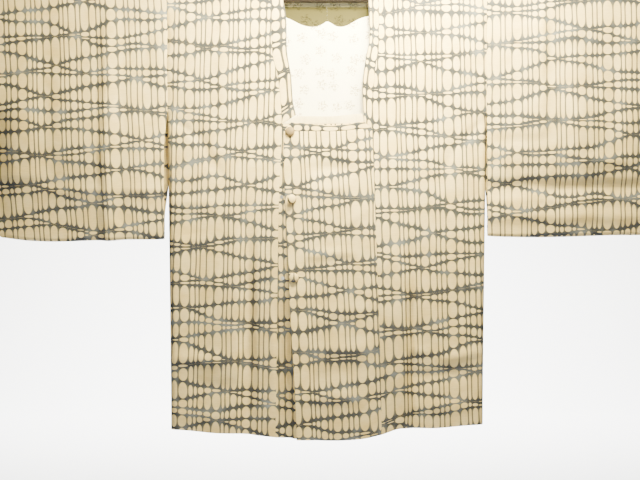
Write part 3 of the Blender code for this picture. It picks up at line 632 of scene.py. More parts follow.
# the two lengths of cloth that make the fronts and the back, in metres
body = {
    "sideLine": [(0.000, 0.3205), (0.235, 0.3205), (0.280, 0.3198), (0.380, 0.3182),
                 (0.520, 0.3164), (0.880, 0.3128)],   # half width at the side seams, by fall
    "sideDepth": 0.0120,       # half depth at the side seams
    "sideRounds": 0.200,       # the fall below the armhole over which it is reached
    "sideCloses": 0.040,       # the fall over which the front and back curl shut
    "frontBow": 0.0160,        # how far each face stands out in the middle
    "backBow": 0.0100,
    "bowFall": 0.460,
    # from the centre to each panel's front seam, as (fall, distance)
    "frontSeam": {
        "left": [(0.000, 0.1040), (0.110, 0.1040), (0.150, 0.0975), (0.200, 0.0930),
                 (0.250, 0.0900), (0.290, 0.0905), (0.620, 0.1020), (0.880, 0.1080)],
        "right": [(0.000, 0.1100), (0.122, 0.1095), (0.172, 0.0985), (0.234, 0.0920),
                  (0.270, 0.0905), (0.420, 0.0960), (0.820, 0.1020), (0.880, 0.1030)],
    },
    # how low each part of the hem hangs, as (x, fall)
    "hemLine": {
        "front": [(-0.310, 0.880), (-0.224, 0.886), (-0.174, 0.887), (-0.130, 0.891),
                  (-0.060, 0.896), (0.010, 0.899), (0.070, 0.896), (0.108, 0.887),
                  (0.146, 0.875), (0.206, 0.876), (0.310, 0.870)],
        "back": [(-0.310, 0.878), (-0.150, 0.884), (0.000, 0.882), (0.150, 0.880), (0.310, 0.869)],
    },
    "hemShapedFrom": 0.600,
    # the hanging troughs, as (x, half width, depth, fall where one starts)
    "troughs": {
        "front": [(-0.152, 0.050, 0.0050, 0.540), (0.172, 0.050, 0.0046, 0.600),
                  (-0.255, 0.040, 0.0022, 0.400), (0.258, 0.040, 0.0018, 0.480)],
        "back": [(-0.190, 0.060, 0.0048, 0.420), (-0.070, 0.045, 0.0030, 0.620),
                 (0.110, 0.055, 0.0042, 0.500), (0.225, 0.045, 0.0030, 0.360)],
    },
    "troughGrows": 0.200,
    # where the over front comes to lie a whole layer out, in x and in fall
    "lift": {"fromX": 0.170, "fullX": 0.100, "fromFall": 0.040, "fullFall": 0.160},
    # how finely it is cut into points
    "turnSteps": 10, "neckSteps": 16, "upperSteps": 40, "backUpperSteps": 35,
    "closingSteps": 12, "lowerSteps": 115, "columns": 66, "stripColumns": 9,
    "hemSteps": (0.0035, 0.0018),
    # where the cloth is cut from, and how its columns lean
    "cloth": {"left": {"across": 0.004, "along": 2.0, "lean": 0.022},
              "right": {"across": 0.331, "along": 5.3, "lean": -0.022}},
    # rows as creaseRelief reads them
    "creases": [
        (0.152, 0.700, 0.28, 90, (0.022, 0.060), 0.0165),
        (-0.157, 0.690, 0.27, 90, (0.018, 0.022), -0.0095),
        (-0.0775, 0.780, 0.22, 87.3, (0.009, 0.026), -0.0120),
        (-0.3205, 0.110, 0.17, 90, 0.005, -0.0030, "sharp"),
        (0.3205, 0.110, 0.17, 90, 0.005, -0.0030, "sharp"),
        (-0.262, 0.427, 0.065, 1, 0.012, 0.0025),
        (-0.272, 0.503, 0.050, -2, 0.010, 0.0026),
        (-0.258, 0.738, 0.075, -1, 0.014, 0.0054),
        (-0.225, 0.788, 0.060, 3, 0.016, -0.0038),
        (-0.245, 0.845, 0.075, -2, 0.014, 0.0029),
        (0.268, 0.733, 0.055, -6, 0.013, 0.0051),
        (0.185, 0.722, 0.030, 8, 0.012, 0.0035),
        (0.225, 0.775, 0.085, 0, 0.016, -0.0048),
        (0.228, 0.838, 0.080, 2, 0.015, 0.0035),
        (-0.205, 0.150, 0.12, 88, 0.016, 0.0027),
        (0.215, 0.190, 0.15, 92, 0.018, -0.0027),
        (-0.235, 0.330, 0.07, 62, 0.012, -0.0034),
        (0.240, 0.345, 0.06, 112, 0.012, -0.0031),
        (-0.285, 0.275, 0.05, 40, 0.009, -0.0029),
        (0.288, 0.285, 0.05, 138, 0.009, -0.0031),
        (0.005, 0.358, 0.060, 2, 0.013, -0.0042),
        (0.000, 0.400, 0.050, -4, 0.013, 0.0032),
        (0.055, 0.455, 0.045, -38, 0.009, 0.0022),
        (0.005, 0.528, 0.060, -3, 0.010, 0.0038),
        (0.035, 0.640, 0.070, -8, 0.012, 0.0022),
        (0.035, 0.712, 0.080, -2, 0.014, 0.0036),
        (0.030, 0.752, 0.075, -6, 0.012, -0.0020),
        (0.010, 0.800, 0.080, 2, 0.014, 0.0038),
        (-0.160, -0.120, 0.10, 90, 0.018, 0.0059),
        (0.170, -0.170, 0.13, 86, 0.018, -0.0059),
        (0.000, -0.330, 0.16, 4, 0.012, -0.0066),
        (-0.200, -0.450, 0.11, -5, 0.012, -0.0066),
        (0.190, -0.620, 0.12, 6, 0.013, -0.0072),
        (0.040, -0.720, 0.18, 92, 0.016, 0.0060),
        (-0.240, -0.700, 0.18, 87, 0.014, 0.0064),
        (-0.100, -0.800, 0.09, 3, 0.014, 0.0066),
    ],
}


def seamDepth(fall):
    # half depth at the armhole seam and down the sleeve
    down = (abs(fall) - foldFall) / (sleeve["length"] - foldFall)
    return mix(foldRadius, sleeve["footDepth"], ease(down))


def sideDepth(fall):
    low = ease((abs(fall) - coat["armhole"]) / body["sideRounds"])
    return mix(seamDepth(min(abs(fall), coat["armhole"])), body["sideDepth"], low)


def bodyDepth(x, fall):
    face = "front" if fall >= 0 else "back"
    down = abs(fall)
    across = max(0.0, 1 - (x / follow(body["sideLine"], down)) ** 2)
    bow = body[face + "Bow"] * ease((down - foldFall) / body["bowFall"]) * across
    depth = sideDepth(down) + bow
    for centre, reach, deep, start in body["troughs"][face]:
        near = max(0.0, 1 - abs(x - centre) / reach)
        depth -= deep * ease(near) * ease((down - start) / body["troughGrows"])
    return depth


def frontLift(x, fall):
    # the left front lies a layer in front of the right
    lift = body["lift"]
    across = ease((lift["fromX"] - x) / (lift["fromX"] - lift["fullX"]))
    down = ease((fall - lift["fromFall"]) / (lift["fullFall"] - lift["fromFall"]))
    return layerStep * across * down


def hemmed(x, fall):
    face = "front" if fall >= 0 else "back"
    shaping = follow(body["hemLine"][face], x) - coat["length"]
    low = (abs(fall) - body["hemShapedFrom"]) / (coat["length"] - body["hemShapedFrom"])
    return math.copysign(abs(fall) + shaping * ease(low), fall)


def hang(x, fall, depth):
    towards = -1 if fall >= 0 else 1
    down = abs(fall)
    if down < foldFall:
        turn = math.pi / 2 * down / foldFall
        return (x, towards * foldRadius * math.sin(turn), rodLevel + foldRadius * math.cos(turn))
    return (x, towards * depth, shoulderLevel - down)


def onBody(x, fall, lifted=False):
    depth = bodyDepth(x, fall)
    if lifted and fall > 0:
        depth += frontLift(x, fall)
    return hang(x, hemmed(x, fall), depth)


def layOut(spots, cloth):
    # where each spot lies on its length of silk, whose columns lean a little as it hangs
    return [[(x + cloth["across"] - cloth["lean"] * fall, fall + cloth["along"])
             for x, fall, point in row] for row in spots]


def panelFalls():
    turn = spread(0, foldFall, body["turnSteps"])
    neck = [coat["backNeck"] * math.sin(angle)
            for angle in spread(0, math.pi / 2, body["neckSteps"])]
    neck = [fall for fall in neck if fall > foldFall + 0.0008]
    closed = coat["armhole"] + body["sideCloses"]
    below = spread(coat["armhole"], closed, body["closingSteps"])
    low, lower = (coat["length"] - step for step in body["hemSteps"])
    below += spread(closed, low, body["lowerSteps"])
    below += [lower, coat["length"]]
    neck += spread(coat["backNeck"], coat["armhole"], body["backUpperSteps"])
    front = turn + spread(foldFall, coat["armhole"], body["upperSteps"]) + below
    back = turn + neck + below
    return [-fall for fall in reversed(back)] + [0.0] + front


def panelInnerEdge(side, fall):
    if fall >= 0:
        return follow(body["frontSeam"][side], fall)
    down = min(-fall / coat["backNeck"], 1.0)
    return mix(coat["seam"], body["frontSeam"][side][0][1], math.sqrt(1 - down * down))


def stripPoint(fall, part):
    # the strip of cloth that curls round to the side seam below the armhole
    curl = math.pi / 2 * ease((abs(fall) - coat["armhole"]) / body["sideCloses"])
    strip = (sideDepth(fall) - coat["gap"] / 2) * math.pi / 2
    if curl < 0.01:
        return strip * part, 0.0, strip
    bend = strip / curl
    return bend * math.sin(curl * part), bend * (1 - math.cos(curl * part)), strip


def hangingEdge(fall):
    return follow(body["sideLine"], abs(fall)) - stripPoint(fall, 1)[0]


def makeBodyPanel(side):
    sign = signOf[side]
    spots = []
    for fall in panelFalls():
        edge, inner = hangingEdge(fall), panelInnerEdge(side, fall)
        strip = stripPoint(fall, 1)[2]
        row = []
        shares = [step / (edge - inner) for step in coat["edgeSteps"]]
        shares += spread(shares[-1], 1, body["columns"])
        for share in shares:
            x = sign * mix(inner, edge, share)
            row.append((x, fall, onBody(x, fall, side == "left")))
        depth = sideDepth(fall)
        bowed = abs(row[-1][2][1]) - depth
        nearly, close = coat["edgeSteps"][1:3]
        parts = spread(0, 1 - close / strip, body["stripColumns"])
        parts += [1 - nearly / strip, 1.0]
        for part in parts:
            along, back, width = stripPoint(fall, part)
            x = sign * (edge + along)
            out = depth - back + bowed * (1 - ease(part))
            # the cloth's own place, as if the strip lay flat
            row.append((sign * (edge + width * part), fall, hang(x, hemmed(x, fall), out)))
        spots.append(row)
    name = "bodyPanel" + side.capitalize()
    piece = makeShell(name, spots, layOut(spots, body["cloth"][side]), coat["wall"] / 2,
                      coat["wall"] / 2, body["creases"], [latticeSilk, liningSatin])
    place(piece, "body_panel_" + side)


# the two sleeves, each a tube of one length of cloth, in metres
sleeve = {
    "end": 0.663,
    "length": 0.490,
    "sag": 0.008,
    "footDepth": 0.0062,
    "footRound": 0.007,
    "cuffOpening": 0.230,
    "cuffCloses": 0.030,
    "cornerRadius": 0.012,
    # how far the front's inner edge stands off the body, and the fall where it has got there
    "spread": {"left": (0.0026, 0.450), "right": (0.0066, 0.320)},
    "backSpreads": (0.370, 0.460),
    # how much lower than the cut each foot hangs, as (x, drop)
    "foot": {"left": [(0.322, 0.002), (0.400, -0.001), (0.490, -0.005), (0.560, -0.006),
                      (0.620, -0.003), (0.663, -0.001)],
             "right": [(0.322, 0.008), (0.400, 0.004), (0.470, 0.003), (0.540, 0.006),
                       (0.600, 0.007), (0.663, 0.004)]},
    "cuffTaper": 0.045,        # the last stretch, where the two faces come together
    "width": 0.34,
    # how finely it is cut into points, and how many columns of silk turn in by the body
    "turnSteps": 10, "steps": 84, "footSteps": 8, "cornerSteps": 10, "columns": 60, "facing": 8,
    "cloth": {"left": {"across": -0.3208, "along": 8.1, "lean": 0.0},
              "right": {"across": 0.676, "along": 3.4, "lean": 0.040}},
    "creases": {
        "left": [
            (0.3205, 0.110, 0.17, 90, 0.005, -0.0030, "sharp"),
            (0.530, 0.305, 0.215, 0, 0.125, 0.0205),
            (0.475, 0.394, 0.30, 0, (0.020, 0.024), -0.0075),
            (0.475, 0.452, 0.32, 0, 0.014, 0.0045),
            (0.365, 0.430, 0.060, 0, 0.016, 0.0026),
            (0.430, 0.090, 0.24, 91, (0.016, 0.050), 0.0075),
            (0.555, 0.342, 0.070, -2, 0.012, 0.0035),
            (0.390, 0.300, 0.070, -3, 0.012, -0.0029),
            (0.500, 0.240, 0.28, 90, 0.022, 0.0041),
            (0.575, 0.180, 0.20, 93, 0.018, -0.0034),
            (0.450, -0.270, 0.26, 90, 0.016, 0.0068, "sharp"),
            (0.560, -0.392, 0.10, 4, 0.012, -0.0072),
        ],
        "right": [
            (-0.3205, 0.110, 0.17, 90, 0.005, -0.0030, "sharp"),
            (-0.530, 0.305, 0.215, 0, 0.125, 0.0205),
            (-0.441, 0.330, 0.45, 90, (0.030, 0.016), 0.0066),
            (-0.480, 0.402, 0.130, 0, 0.014, 0.0045, "sharp"),
            (-0.365, 0.398, 0.060, 1, 0.013, 0.0054, "sharp"),
            (-0.610, 0.372, 0.060, -5, 0.014, 0.0038),
            (-0.415, 0.474, 0.026, 36, 0.006, 0.0035, "sharp"),
            (-0.560, 0.230, 0.20, 88, 0.022, -0.0037),
            (-0.360, 0.180, 0.13, 86, 0.015, -0.0024),
            (-0.520, -0.300, 0.26, 91, 0.016, 0.0068, "sharp"),
            (-0.420, -0.380, 0.12, -3, 0.012, -0.0072),
        ],
    },
}


def sleeveFoot(side, x):
    inner = follow(body["sideLine"], 0)
    sag = sleeve["sag"] * math.sin(math.pi * (abs(x) - inner) / (sleeve["end"] - inner))
    past = max(0.0, abs(x) - (sleeve["end"] - sleeve["cornerRadius"]))
    corner = sleeve["cornerRadius"] - math.sqrt(max(sleeve["cornerRadius"] ** 2 - past ** 2, 0.0))
    return sleeve["length"] + sag - corner + follow(sleeve["foot"][side], abs(x))


def sleeveDepth(x, fall):
    shut = ease((abs(x) - sleeve["end"] + sleeve["cuffTaper"]) / sleeve["cuffTaper"])
    shut *= ease((fall - sleeve["cuffOpening"]) / sleeve["cuffCloses"])
    return mix(seamDepth(fall), coat["wall"] / 2 + coat["gap"], shut)


def sleeveInner(side, face, fall):
    # the edge beside the body: the front stands off it, the back hangs close behind it
    seam = follow(body["sideLine"], 0) + coat["seam"]
    stands, reached = sleeve["spread"][side]
    front = seam + stands * ease((fall - coat["armhole"]) / (reached - coat["armhole"]))
    if face == "front":
        return front
    start, end = sleeve["backSpreads"]
    share = ease((fall - start) / (end - start))
    return mix(follow(body["sideLine"], fall) + coat["gap"], front, share)


def sleeveHalf(side, face, share):
    # one section of a face, from the foot up to the shoulder line, as (x, fall, point)
    sign = signOf[side]

    def xAt(fall):
        return mix(sleeveInner(side, face, fall), sleeve["end"], share)

    half = []
    for fall in [0.0] + spread(0, foldFall, sleeve["turnSteps"]):
        x = xAt(fall)
        half.append((sign * x, fall, hang(sign * x, fall, foldRadius)))
    for down in spread(0, 1, sleeve["steps"]):
        x = xAt(mix(foldFall, sleeve["length"], down))
        fall = mix(foldFall, sleeveFoot(side, x) - coat["wall"] / 2 - sleeve["footRound"], down)
        half.append((sign * x, fall, hang(sign * x, fall, sleeveDepth(x, fall))))
    x = xAt(sleeve["length"])
    start = sleeveFoot(side, x) - coat["wall"] / 2 - sleeve["footRound"]
    depth = sleeveDepth(x, start)
    for turn in spread(0, math.pi / 2, sleeve["footSteps"]):
        fall = start + sleeve["footRound"] * math.sin(turn)
        half.append((sign * x, fall, hang(sign * x, fall, depth * math.cos(turn))))
    return half[::-1]


def makeSleeve(side):
    turns = 1 - sleeve["cornerRadius"] / (sleeve["end"] - follow(body["sideLine"], 0))
    shares = [s for s in edgeShares(sleeve["width"], sleeve["columns"]) if s < turns]
    corner = spread(0, math.pi / 2, sleeve["cornerSteps"])
    shares += [mix(turns, 1, math.sin(angle)) for angle in corner]
    sections = []
    for share in shares:
        front = sleeveHalf(side, "front", share)
        back = [(x, -fall, (p[0], -p[1], p[2]))
                for x, fall, p in reversed(sleeveHalf(side, "back", share)[1:-1])]
        sections.append(front + back)
    spots = [[section[r] for section in sections] for r in range(len(sections[0]))]
    foot = [(x, -fall, point) for x, fall, point in spots[0]]
    cloth = layOut(spots + [foot], sleeve["cloth"][side])
    piece = makeShell("sleeve" + side.capitalize(), spots, cloth, coat["wall"] / 2,
                      coat["wall"] / 2, sleeve["creases"][side],
                      [latticeSilk, liningSatin],
                      lambda r, c, face: int(face == 1 and c > sleeve["facing"]), closed=True)
    place(piece, "sleeve_" + side)


# the two panels lapped over each other down the front, in metres
overlap = {
    # each free edge, as (fall, x)
    "freeEdge": {
        "over": [(0.270, -0.0865), (0.420, -0.0840), (0.620, -0.0740), (0.890, -0.0600)],
        "under": [(0.250, 0.0780), (0.880, 0.0660)],
    },
    "width": 0.17, "drop": 0.61,
    "columns": 38, "rows": 118,
    "cloth": {"over": {"across": 0.205, "along": 11.4, "lean": 0.045},
              "under": {"across": 0.420, "along": 14.9, "lean": 0.010}},
    # the over panel's free edge stands a little away
    "creases": [
        (-0.0620, 0.900, 0.42, 87.5, (0.042, 0.060), 0.0170),
    ],
}
creasesOf = {"over": body["creases"] + overlap["creases"], "under": body["creases"]}


def makeOverlapPanel(rank):
    side = "left" if rank == "over" else "right"
    spots = []
    shares = edgeShares(overlap["width"], overlap["columns"])
    falls = edgeShares(overlap["drop"], overlap["rows"])
    for down in falls:
        row = []
        for share in shares:
            seamTop = band["foot"][side][0]
            level = mix(seamTop, coat["length"], down)
            seam = signOf[side] * (follow(body["frontSeam"][side], level) - coat["seam"])
            x = mix(follow(overlap["freeEdge"][rank], level), seam, share)
            top = follow(band["crossFoot"][rank], x) + coat["seam"]
            fall = mix(top, coat["length"], down)
            row.append((x, fall, onBody(x, fall, rank == "over")))
        spots.append(row)
    piece = makeShell("overlapPanel" + side.capitalize(), spots,
                      layOut(spots, overlap["cloth"][rank]), coat["wall"] / 2,
                      coat["wall"] / 2, creasesOf[rank],
                      [latticeSilk, liningSatin])
    place(piece, "overlap_panel_" + side)


# the band round the neck and across the front, mitred at its corners, in metres
band = {
    "backWidth": 0.020,
    # from the centre to the side bands' free edges, as (fall, distance)
    "edge": {
        "left": [(0.000, 0.0820), (0.090, 0.0855), (0.145, 0.0760), (0.200, 0.0705),
                 (0.265, 0.0735)],
        "right": [(0.000, 0.0885), (0.060, 0.0815), (0.122, 0.0800), (0.172, 0.0720),
                  (0.224, 0.0680), (0.256, 0.0620)],
    },
    "foot": {"left": (0.2770, 0.2630), "right": (0.2680, 0.2500)},   # falls of seam and edge
    # the stretches across the front, as (x, fall) of the upper and lower edges
    "crossTop": {
        "over": [(-0.086, 0.2650), (0.012, 0.2712), (0.090, 0.2628)],
        "under": [(-0.091, 0.2520), (0.000, 0.2530), (0.080, 0.2470)],
    },
    "crossFoot": {
        "over": [(-0.086, 0.2828), (0.012, 0.2828), (0.090, 0.2770)],
        "under": [(-0.091, 0.2680), (0.000, 0.2680), (0.080, 0.2660)],
    },
    # from which x to which x those two edges run
    "topEnds": {"over": (-0.0720, 0.0729), "under": (-0.0614, 0.0700)},
    "footEnds": {"over": (-0.0860, 0.0893), "under": (-0.0894, 0.0800)},
    "width": 0.0225, "crossWidth": 0.016, "crossLength": 0.16, "crossCloth": 0.0172,
    "columns": 6, "rows": 70, "backRows": 24, "crossColumns": 60, "crossRows": 6,
    "cloth": {"left": (0.1560, 17.2), "right": (0.2535, 18.6),
              "over": (0.1518, 20.1), "under": (0.2320, 23.4)},
}


def makeNeckBand(side):
    sign = signOf[side]
    neck, free = body["frontSeam"][side][0][1], band["edge"][side][0][1]
    shallow = coat["backNeck"] - band["backWidth"]
    seamFoot, edgeFoot = band["foot"][side]
    backRows = band["backRows"]
    falls = [-coat["backNeck"] * math.sin(math.pi / 2 * (1 - t / backRows))
             for t in range(backRows)]
    falls += [0.0] + spread(0, foldFall, body["turnSteps"])
    falls += spread(foldFall, seamFoot, band["rows"])
    shares = edgeShares(band["width"], band["columns"])
    across, along = band["cloth"][side]
    spots, cloth = [], []
    for fall in falls:
        row = []
        for w in shares:
            if fall < 0:
                angle = math.asin(min(-fall / coat["backNeck"], 1.0))
                x = mix(coat["seam"], mix(neck - coat["seam"], free, w), math.cos(angle))
                spotFall = -mix(coat["backNeck"] - coat["seam"], shallow, w) * math.sin(angle)
            else:
                spotFall = fall * mix(1, edgeFoot / seamFoot, w)
                x = mix(follow(body["frontSeam"][side], spotFall) - coat["seam"],
                        follow(band["edge"][side], spotFall), w)
            row.append((sign * x, spotFall, onBody(sign * x, spotFall, side == "left")))
        spots.append(row)
        # the columns run along the band
        cloth.append([(across + band["width"] * w, along + fall) for w in shares])
    piece = makeShell("neckBand" + side.capitalize(), spots, cloth,
                      coat["wall"] / 2 + coat["bandRaise"], coat["wall"] / 2,
                      body["creases"], [bandSilk, bandSilk])
    place(piece, "neck_band_" + side)


def makeCrossBand(rank):
    foot, top = band["footEnds"][rank], band["topEnds"][rank]
    across, along = band["cloth"][rank]
    spots, cloth = [], []
    for w in edgeShares(band["crossWidth"], band["crossRows"]):
        row = []
        for share in edgeShares(band["crossLength"], band["crossColumns"]):
            x = mix(mix(*top, share), mix(*foot, share), w)
            fall = mix(follow(band["crossTop"][rank], x), follow(band["crossFoot"][rank], x), w)
            row.append((x, fall, onBody(x, fall, rank == "over")))
        spots.append(row)
        # this stretch is cut along the silk too, so its columns lie level
        cloth.append([(across + band["crossCloth"] * w, along + x) for x, fall, point in row])
    piece = makeShell("neckBandFront" + rank.capitalize(), spots, cloth,
                      coat["wall"] / 2 + coat["bandRaise"], coat["wall"] / 2, creasesOf[rank],
                      [bandSilk if rank == "over" else plainSilk, plainSilk])
    place(piece, "neck_band_front_" + rank)


# the lining of the back, hung free behind the neck, in metres
# its top rows, down to the lower edge of the painted shadow, take the painted shadow lining
lining = {"thickness": 0.0010, "top": 0.0185, "hem": 0.860,
          "columns": 80, "edgeShares": [0, 0.004, 0.009], "rows": 130, "paintedShadowRows": 16,
          "cloth": {"across": 0.4, "along": 0.0, "lean": 0.0}}


def makeBackLining(side):
    sign = signOf[side]
    wall, gap = coat["wall"], coat["gap"]
    spots = []
    paintedShadowRows, rows = lining["paintedShadowRows"], lining["rows"]
    shares = lining["edgeShares"] + spread(lining["edgeShares"][-1], 1, lining["columns"])
    for number in range(rows + 1):
        row = []
        for share in shares:
            x = sign * mix(coat["seam"], hangingEdge(0.0), share)
            edge = follow(satin["paintedShadow"], x)
            if number <= paintedShadowRows:
                fall = -mix(lining["top"], edge, number / paintedShadowRows)
            else:
                down = ((number - paintedShadowRows) / (rows - paintedShadowRows)) ** 1.2
                fall = -mix(edge, lining["hem"], down)
            x = sign * mix(coat["seam"], hangingEdge(fall), share)
            row.append((x, fall, onBody(x, fall)))
        spots.append(row)
    near = wall / 2 + gap
    # the rows above the painted shadow's lower edge take the painted shadow lining
    piece = makeShell("liningBack" + side.capitalize(), spots, layOut(spots, lining["cloth"]),
                      -near, near + lining["thickness"], body["creases"],
                      [paintedShadowSatin, liningSatin], lambda r, c, face: int(r >= paintedShadowRows))
    place(piece, "lining_back_" + side)


for side in ("left", "right"):
    makeBodyPanel(side)
    makeSleeve(side)
    makeNeckBand(side)
    makeBackLining(side)
for rank in ("over", "under"):
    makeOverlapPanel(rank)
    makeCrossBand(rank)
print("cloth made")


def turnProfile(name, profile, segments, material):
    # turned about its own Z axis from (radius, height) rows that start and end on the axis
    shape = bmesh.new()
    rings = [[shape.verts.new((r * math.cos(a), r * math.sin(a), h)) for a in
              (math.tau * i / segments for i in range(segments))] for r, h in profile[1:-1]]
    first, last = shape.verts.new((0, 0, profile[0][1])), shape.verts.new((0, 0, profile[-1][1]))
    for i in range(segments):
        j = (i + 1) % segments
        shape.faces.new((first, rings[0][j], rings[0][i]))
        shape.faces.new((last, rings[-1][i], rings[-1][j]))
        for low, high in zip(rings, rings[1:]):
            shape.faces.new((low[i], low[j], high[j], high[i]))
    bmesh.ops.recalc_face_normals(shape, faces=shape.faces)
    mesh = bpy.data.meshes.new(name)
    shape.to_mesh(mesh)
    shape.free()
    mesh.shade_smooth()
    mesh.set_sharp_from_angle(angle=math.radians(40))
    mesh.materials.append(material)
    piece = bpy.data.objects.new(name, mesh)
    bpy.context.collection.objects.link(piece)
    return piece


hanger = {
    "endRound": 0.004, "wire": 0.004, "bend": 0.016, "neck": 0.030,   # metres
    "collar": 0.004,           # the straight start of the wire's neck
    "crownTurn": 215,          # degrees that the hook turns through
    # the rod's colours: its dark stain, drawn darker still as painted shade
    "stainAndShade": "#150e07",
    "stainAndShadePale": "#2b2012",
    "fleck": (111, 2.38),      # length and width in millimetres
    "steel": "#c9c7c1",
    "markSpacing": 1.111,      # drawing marks in millimetres, coarse so that they show
}


def makeStainedShadedBeech():
    # Beech, turned and stained dark, and drawn darker still as painted shade for the shade round
    # the rod at the top of the neck opening: long streaks of grain along the rod, drawn coarse
    # enough to show, under a thin oil finish
    material, tree = newMaterial("stainedShadedBeech")
    fleckLength, fleckWidth = perMetre(hanger["fleck"][0]), perMetre(hanger["fleck"][1])
    spot = addNode(tree, "ShaderNodeTexCoord")
    stretch = addNode(tree, "ShaderNodeMapping",
                      {"Vector": spot.outputs["Object"],
                       "Scale": (fleckLength, fleckWidth, fleckWidth)})
    grain = addNode(tree, "ShaderNodeTexNoise",
                    {"Vector": stretch.outputs[0], "Scale": 1.0, "Detail": 5.0})
    tone = addNode(tree, "ShaderNodeMix",
                   {0: grain.outputs[0], 6: hexToLinear(hanger["stainAndShade"]),
                    7: hexToLinear(hanger["stainAndShadePale"])},
                   data_type="RGBA")
    bump = addNode(tree, "ShaderNodeBump",
                   {"Strength": 0.15, "Distance": 0.0003, "Height": grain.outputs[0]})
    shader = addNode(tree, "ShaderNodeBsdfPrincipled",
                     {"Base Color": tone.outputs[2], "Roughness": 0.58, "IOR": 1.50,
                      "Normal": bump.outputs[0]})
    addNode(tree, "ShaderNodeOutputMaterial", {0: shader.outputs[0]})
    return material


def makeBrightSteel(name, rough):
    # Steel, drawn or stamped and plated: clean and bright with faint drawing marks
    material, tree = newMaterial(name)
    spot = addNode(tree, "ShaderNodeTexCoord")
    marks = addNode(tree, "ShaderNodeTexNoise",
                    {"Vector": spot.outputs["Object"], "Scale": perMetre(hanger["markSpacing"])})
    wear = addNode(tree, "ShaderNodeMapRange",
                   {"Value": marks.outputs[0], "To Min": rough - 0.06, "To Max": rough + 0.10})
    shader = addNode(tree, "ShaderNodeBsdfPrincipled",
                     {"Base Color": hexToLinear(hanger["steel"]), "Metallic": 1.0,
                      "Roughness": wear.outputs[0]})
    addNode(tree, "ShaderNodeOutputMaterial", {0: shader.outputs[0]})
    return material


stainedShadedBeech = makeStainedShadedBeech()
steelWire = makeBrightSteel("drawnSteelWire", 0.28)
platedSteel = makeBrightSteel("platedPressStud", 0.30)
print("wood and steel made")


# spots are (x, fall, degrees tipped, height above the cloth), in metres
button = {
    "radius": 0.0095, "height": 0.0065, "rim": 0.0014,
    "spots": [(-0.0740, 0.284, 0, 0.0004), (-0.0706, 0.419, 28, 0.0), (-0.0660, 0.575, 6, 0.0)],
    # the middle of each one on its scrap of silk: the first is cut from plain ground
    "cloth": [(0.171, 21.7), (0.0600, 22.126), (0.1176, 22.534)],
    "pleat": 0.00006, "pleats": 23,
}
stud = {"radius": 0.0036, "height": 0.0014, "spots": [(-0.0902, 0.414), (-0.0884, 0.576)]}


def seatOn(piece, base, x, fall, lifted, turned=0.0, above=0.0):
    reach = 0.004
    across = Vector(onBody(x + reach, fall, lifted)) - Vector(onBody(x - reach, fall, lifted))
    down = Vector(onBody(x, fall + reach, lifted)) - Vector(onBody(x, fall - reach, lifted))
    normal = down.cross(across).normalized()
    tip = Matrix.Rotation(math.radians(turned), 3, "Z")
    turn = (tip @ normal).to_track_quat("Z", "Y").to_matrix().to_4x4()
    clear = coat["wall"] / 2 + above + coat["gap"] + base * math.sin(math.radians(abs(turned)))
    under = creasesOf["over" if lifted else "under"]
    clear += float(creaseRelief(under, np.array([x]), np.array([fall]))[0])
    spot = Vector(onBody(x, fall, lifted)) + normal * clear
    piece.data.transform(Matrix.Translation(spot) @ turn)


def makeButton(number, x, fall, turned, above):
    radius, height, rim = button["radius"], button["height"], button["rim"]
    base = radius - rim
    profile = [(0, 0), (base * 0.5, 0), (base, 0), (base + rim * 0.7, rim * 0.3), (radius, rim)]
    for angle in spread(0, math.pi / 2, 10)[:-1]:
        profile.append((radius * math.cos(angle), rim + (height - rim) * math.sin(angle)))
    profile.append((0, height))
    piece = turnProfile(f"coveredButton{number}", profile, 48,
                        buttonSilk if number == 1 else latticeSilk)
    # the cover is gathered under the rim, so shallow pleats run in over its shoulder
    for vertex in piece.data.vertices:
        out = math.hypot(vertex.co.x, vertex.co.y)
        angle = math.atan2(vertex.co.y, vertex.co.x)
        pleat = button["pleat"] * math.sin(angle * button["pleats"] + number)
        pleat *= ease((out / radius - 0.6) / 0.4)
        vertex.co.xy *= 1 + pleat / radius
    layer = piece.data.uv_layers.new(name="cloth")
    across, along = button["cloth"][number - 1]
    for loop in piece.data.loops:
        spot = piece.data.vertices[loop.vertex_index].co
        layer.data[loop.index].uv = (across + spot.x, along + spot.y)
    seatOn(piece, base, x, fall, True, turned, above)
    place(piece, f"button_{number}")


def makeStud(number, x, fall):
    # the socket half of a press stud: a flat flange, a raised ring and a sprung hole
    radius, height = stud["radius"], stud["height"]
    profile = [(0, 0), (radius * 0.92, 0), (radius, height * 0.2), (radius * 0.94, height * 0.42),
               (radius * 0.62, height * 0.48), (radius * 0.56, height), (radius * 0.30, height),
               (radius * 0.24, height * 0.35), (0, height * 0.3)]
    piece = turnProfile(f"pressStud{number}", profile, 40, platedSteel)
    seatOn(piece, 0.0, x, fall, False)
    place(piece, f"press_stud_{number}")


for number, (x, fall, turned, above) in enumerate(button["spots"], start=1):
    makeButton(number, x, fall, turned, above)
for number, (x, fall) in enumerate(stud["spots"], start=1):
    makeStud(number, x, fall)


def makeRod():
    half, bevel = (rodHigh.x - rodLow.x) / 2, hanger["endRound"]
    end = [(rodRadius - bevel * (1 - math.cos(a)), half - bevel * (1 - math.sin(a)))
           for a in spread(0, math.pi / 2, 6)]
    profile = [(0, -half)] + [(r, -z) for r, z in reversed(end)]
    profile += [(rodRadius, z) for z in np.linspace(bevel - half, half - bevel, 24)]
    profile += end + [(0, half)]
    piece = turnProfile("hangerRod", profile, 64, stainedShadedBeech)
    lying = Matrix.Rotation(math.pi / 2, 4, "Y")
    piece.data.transform(Matrix.Translation((0, 0, rodLevel)) @ lying)
    place(piece, "hanger_rod")


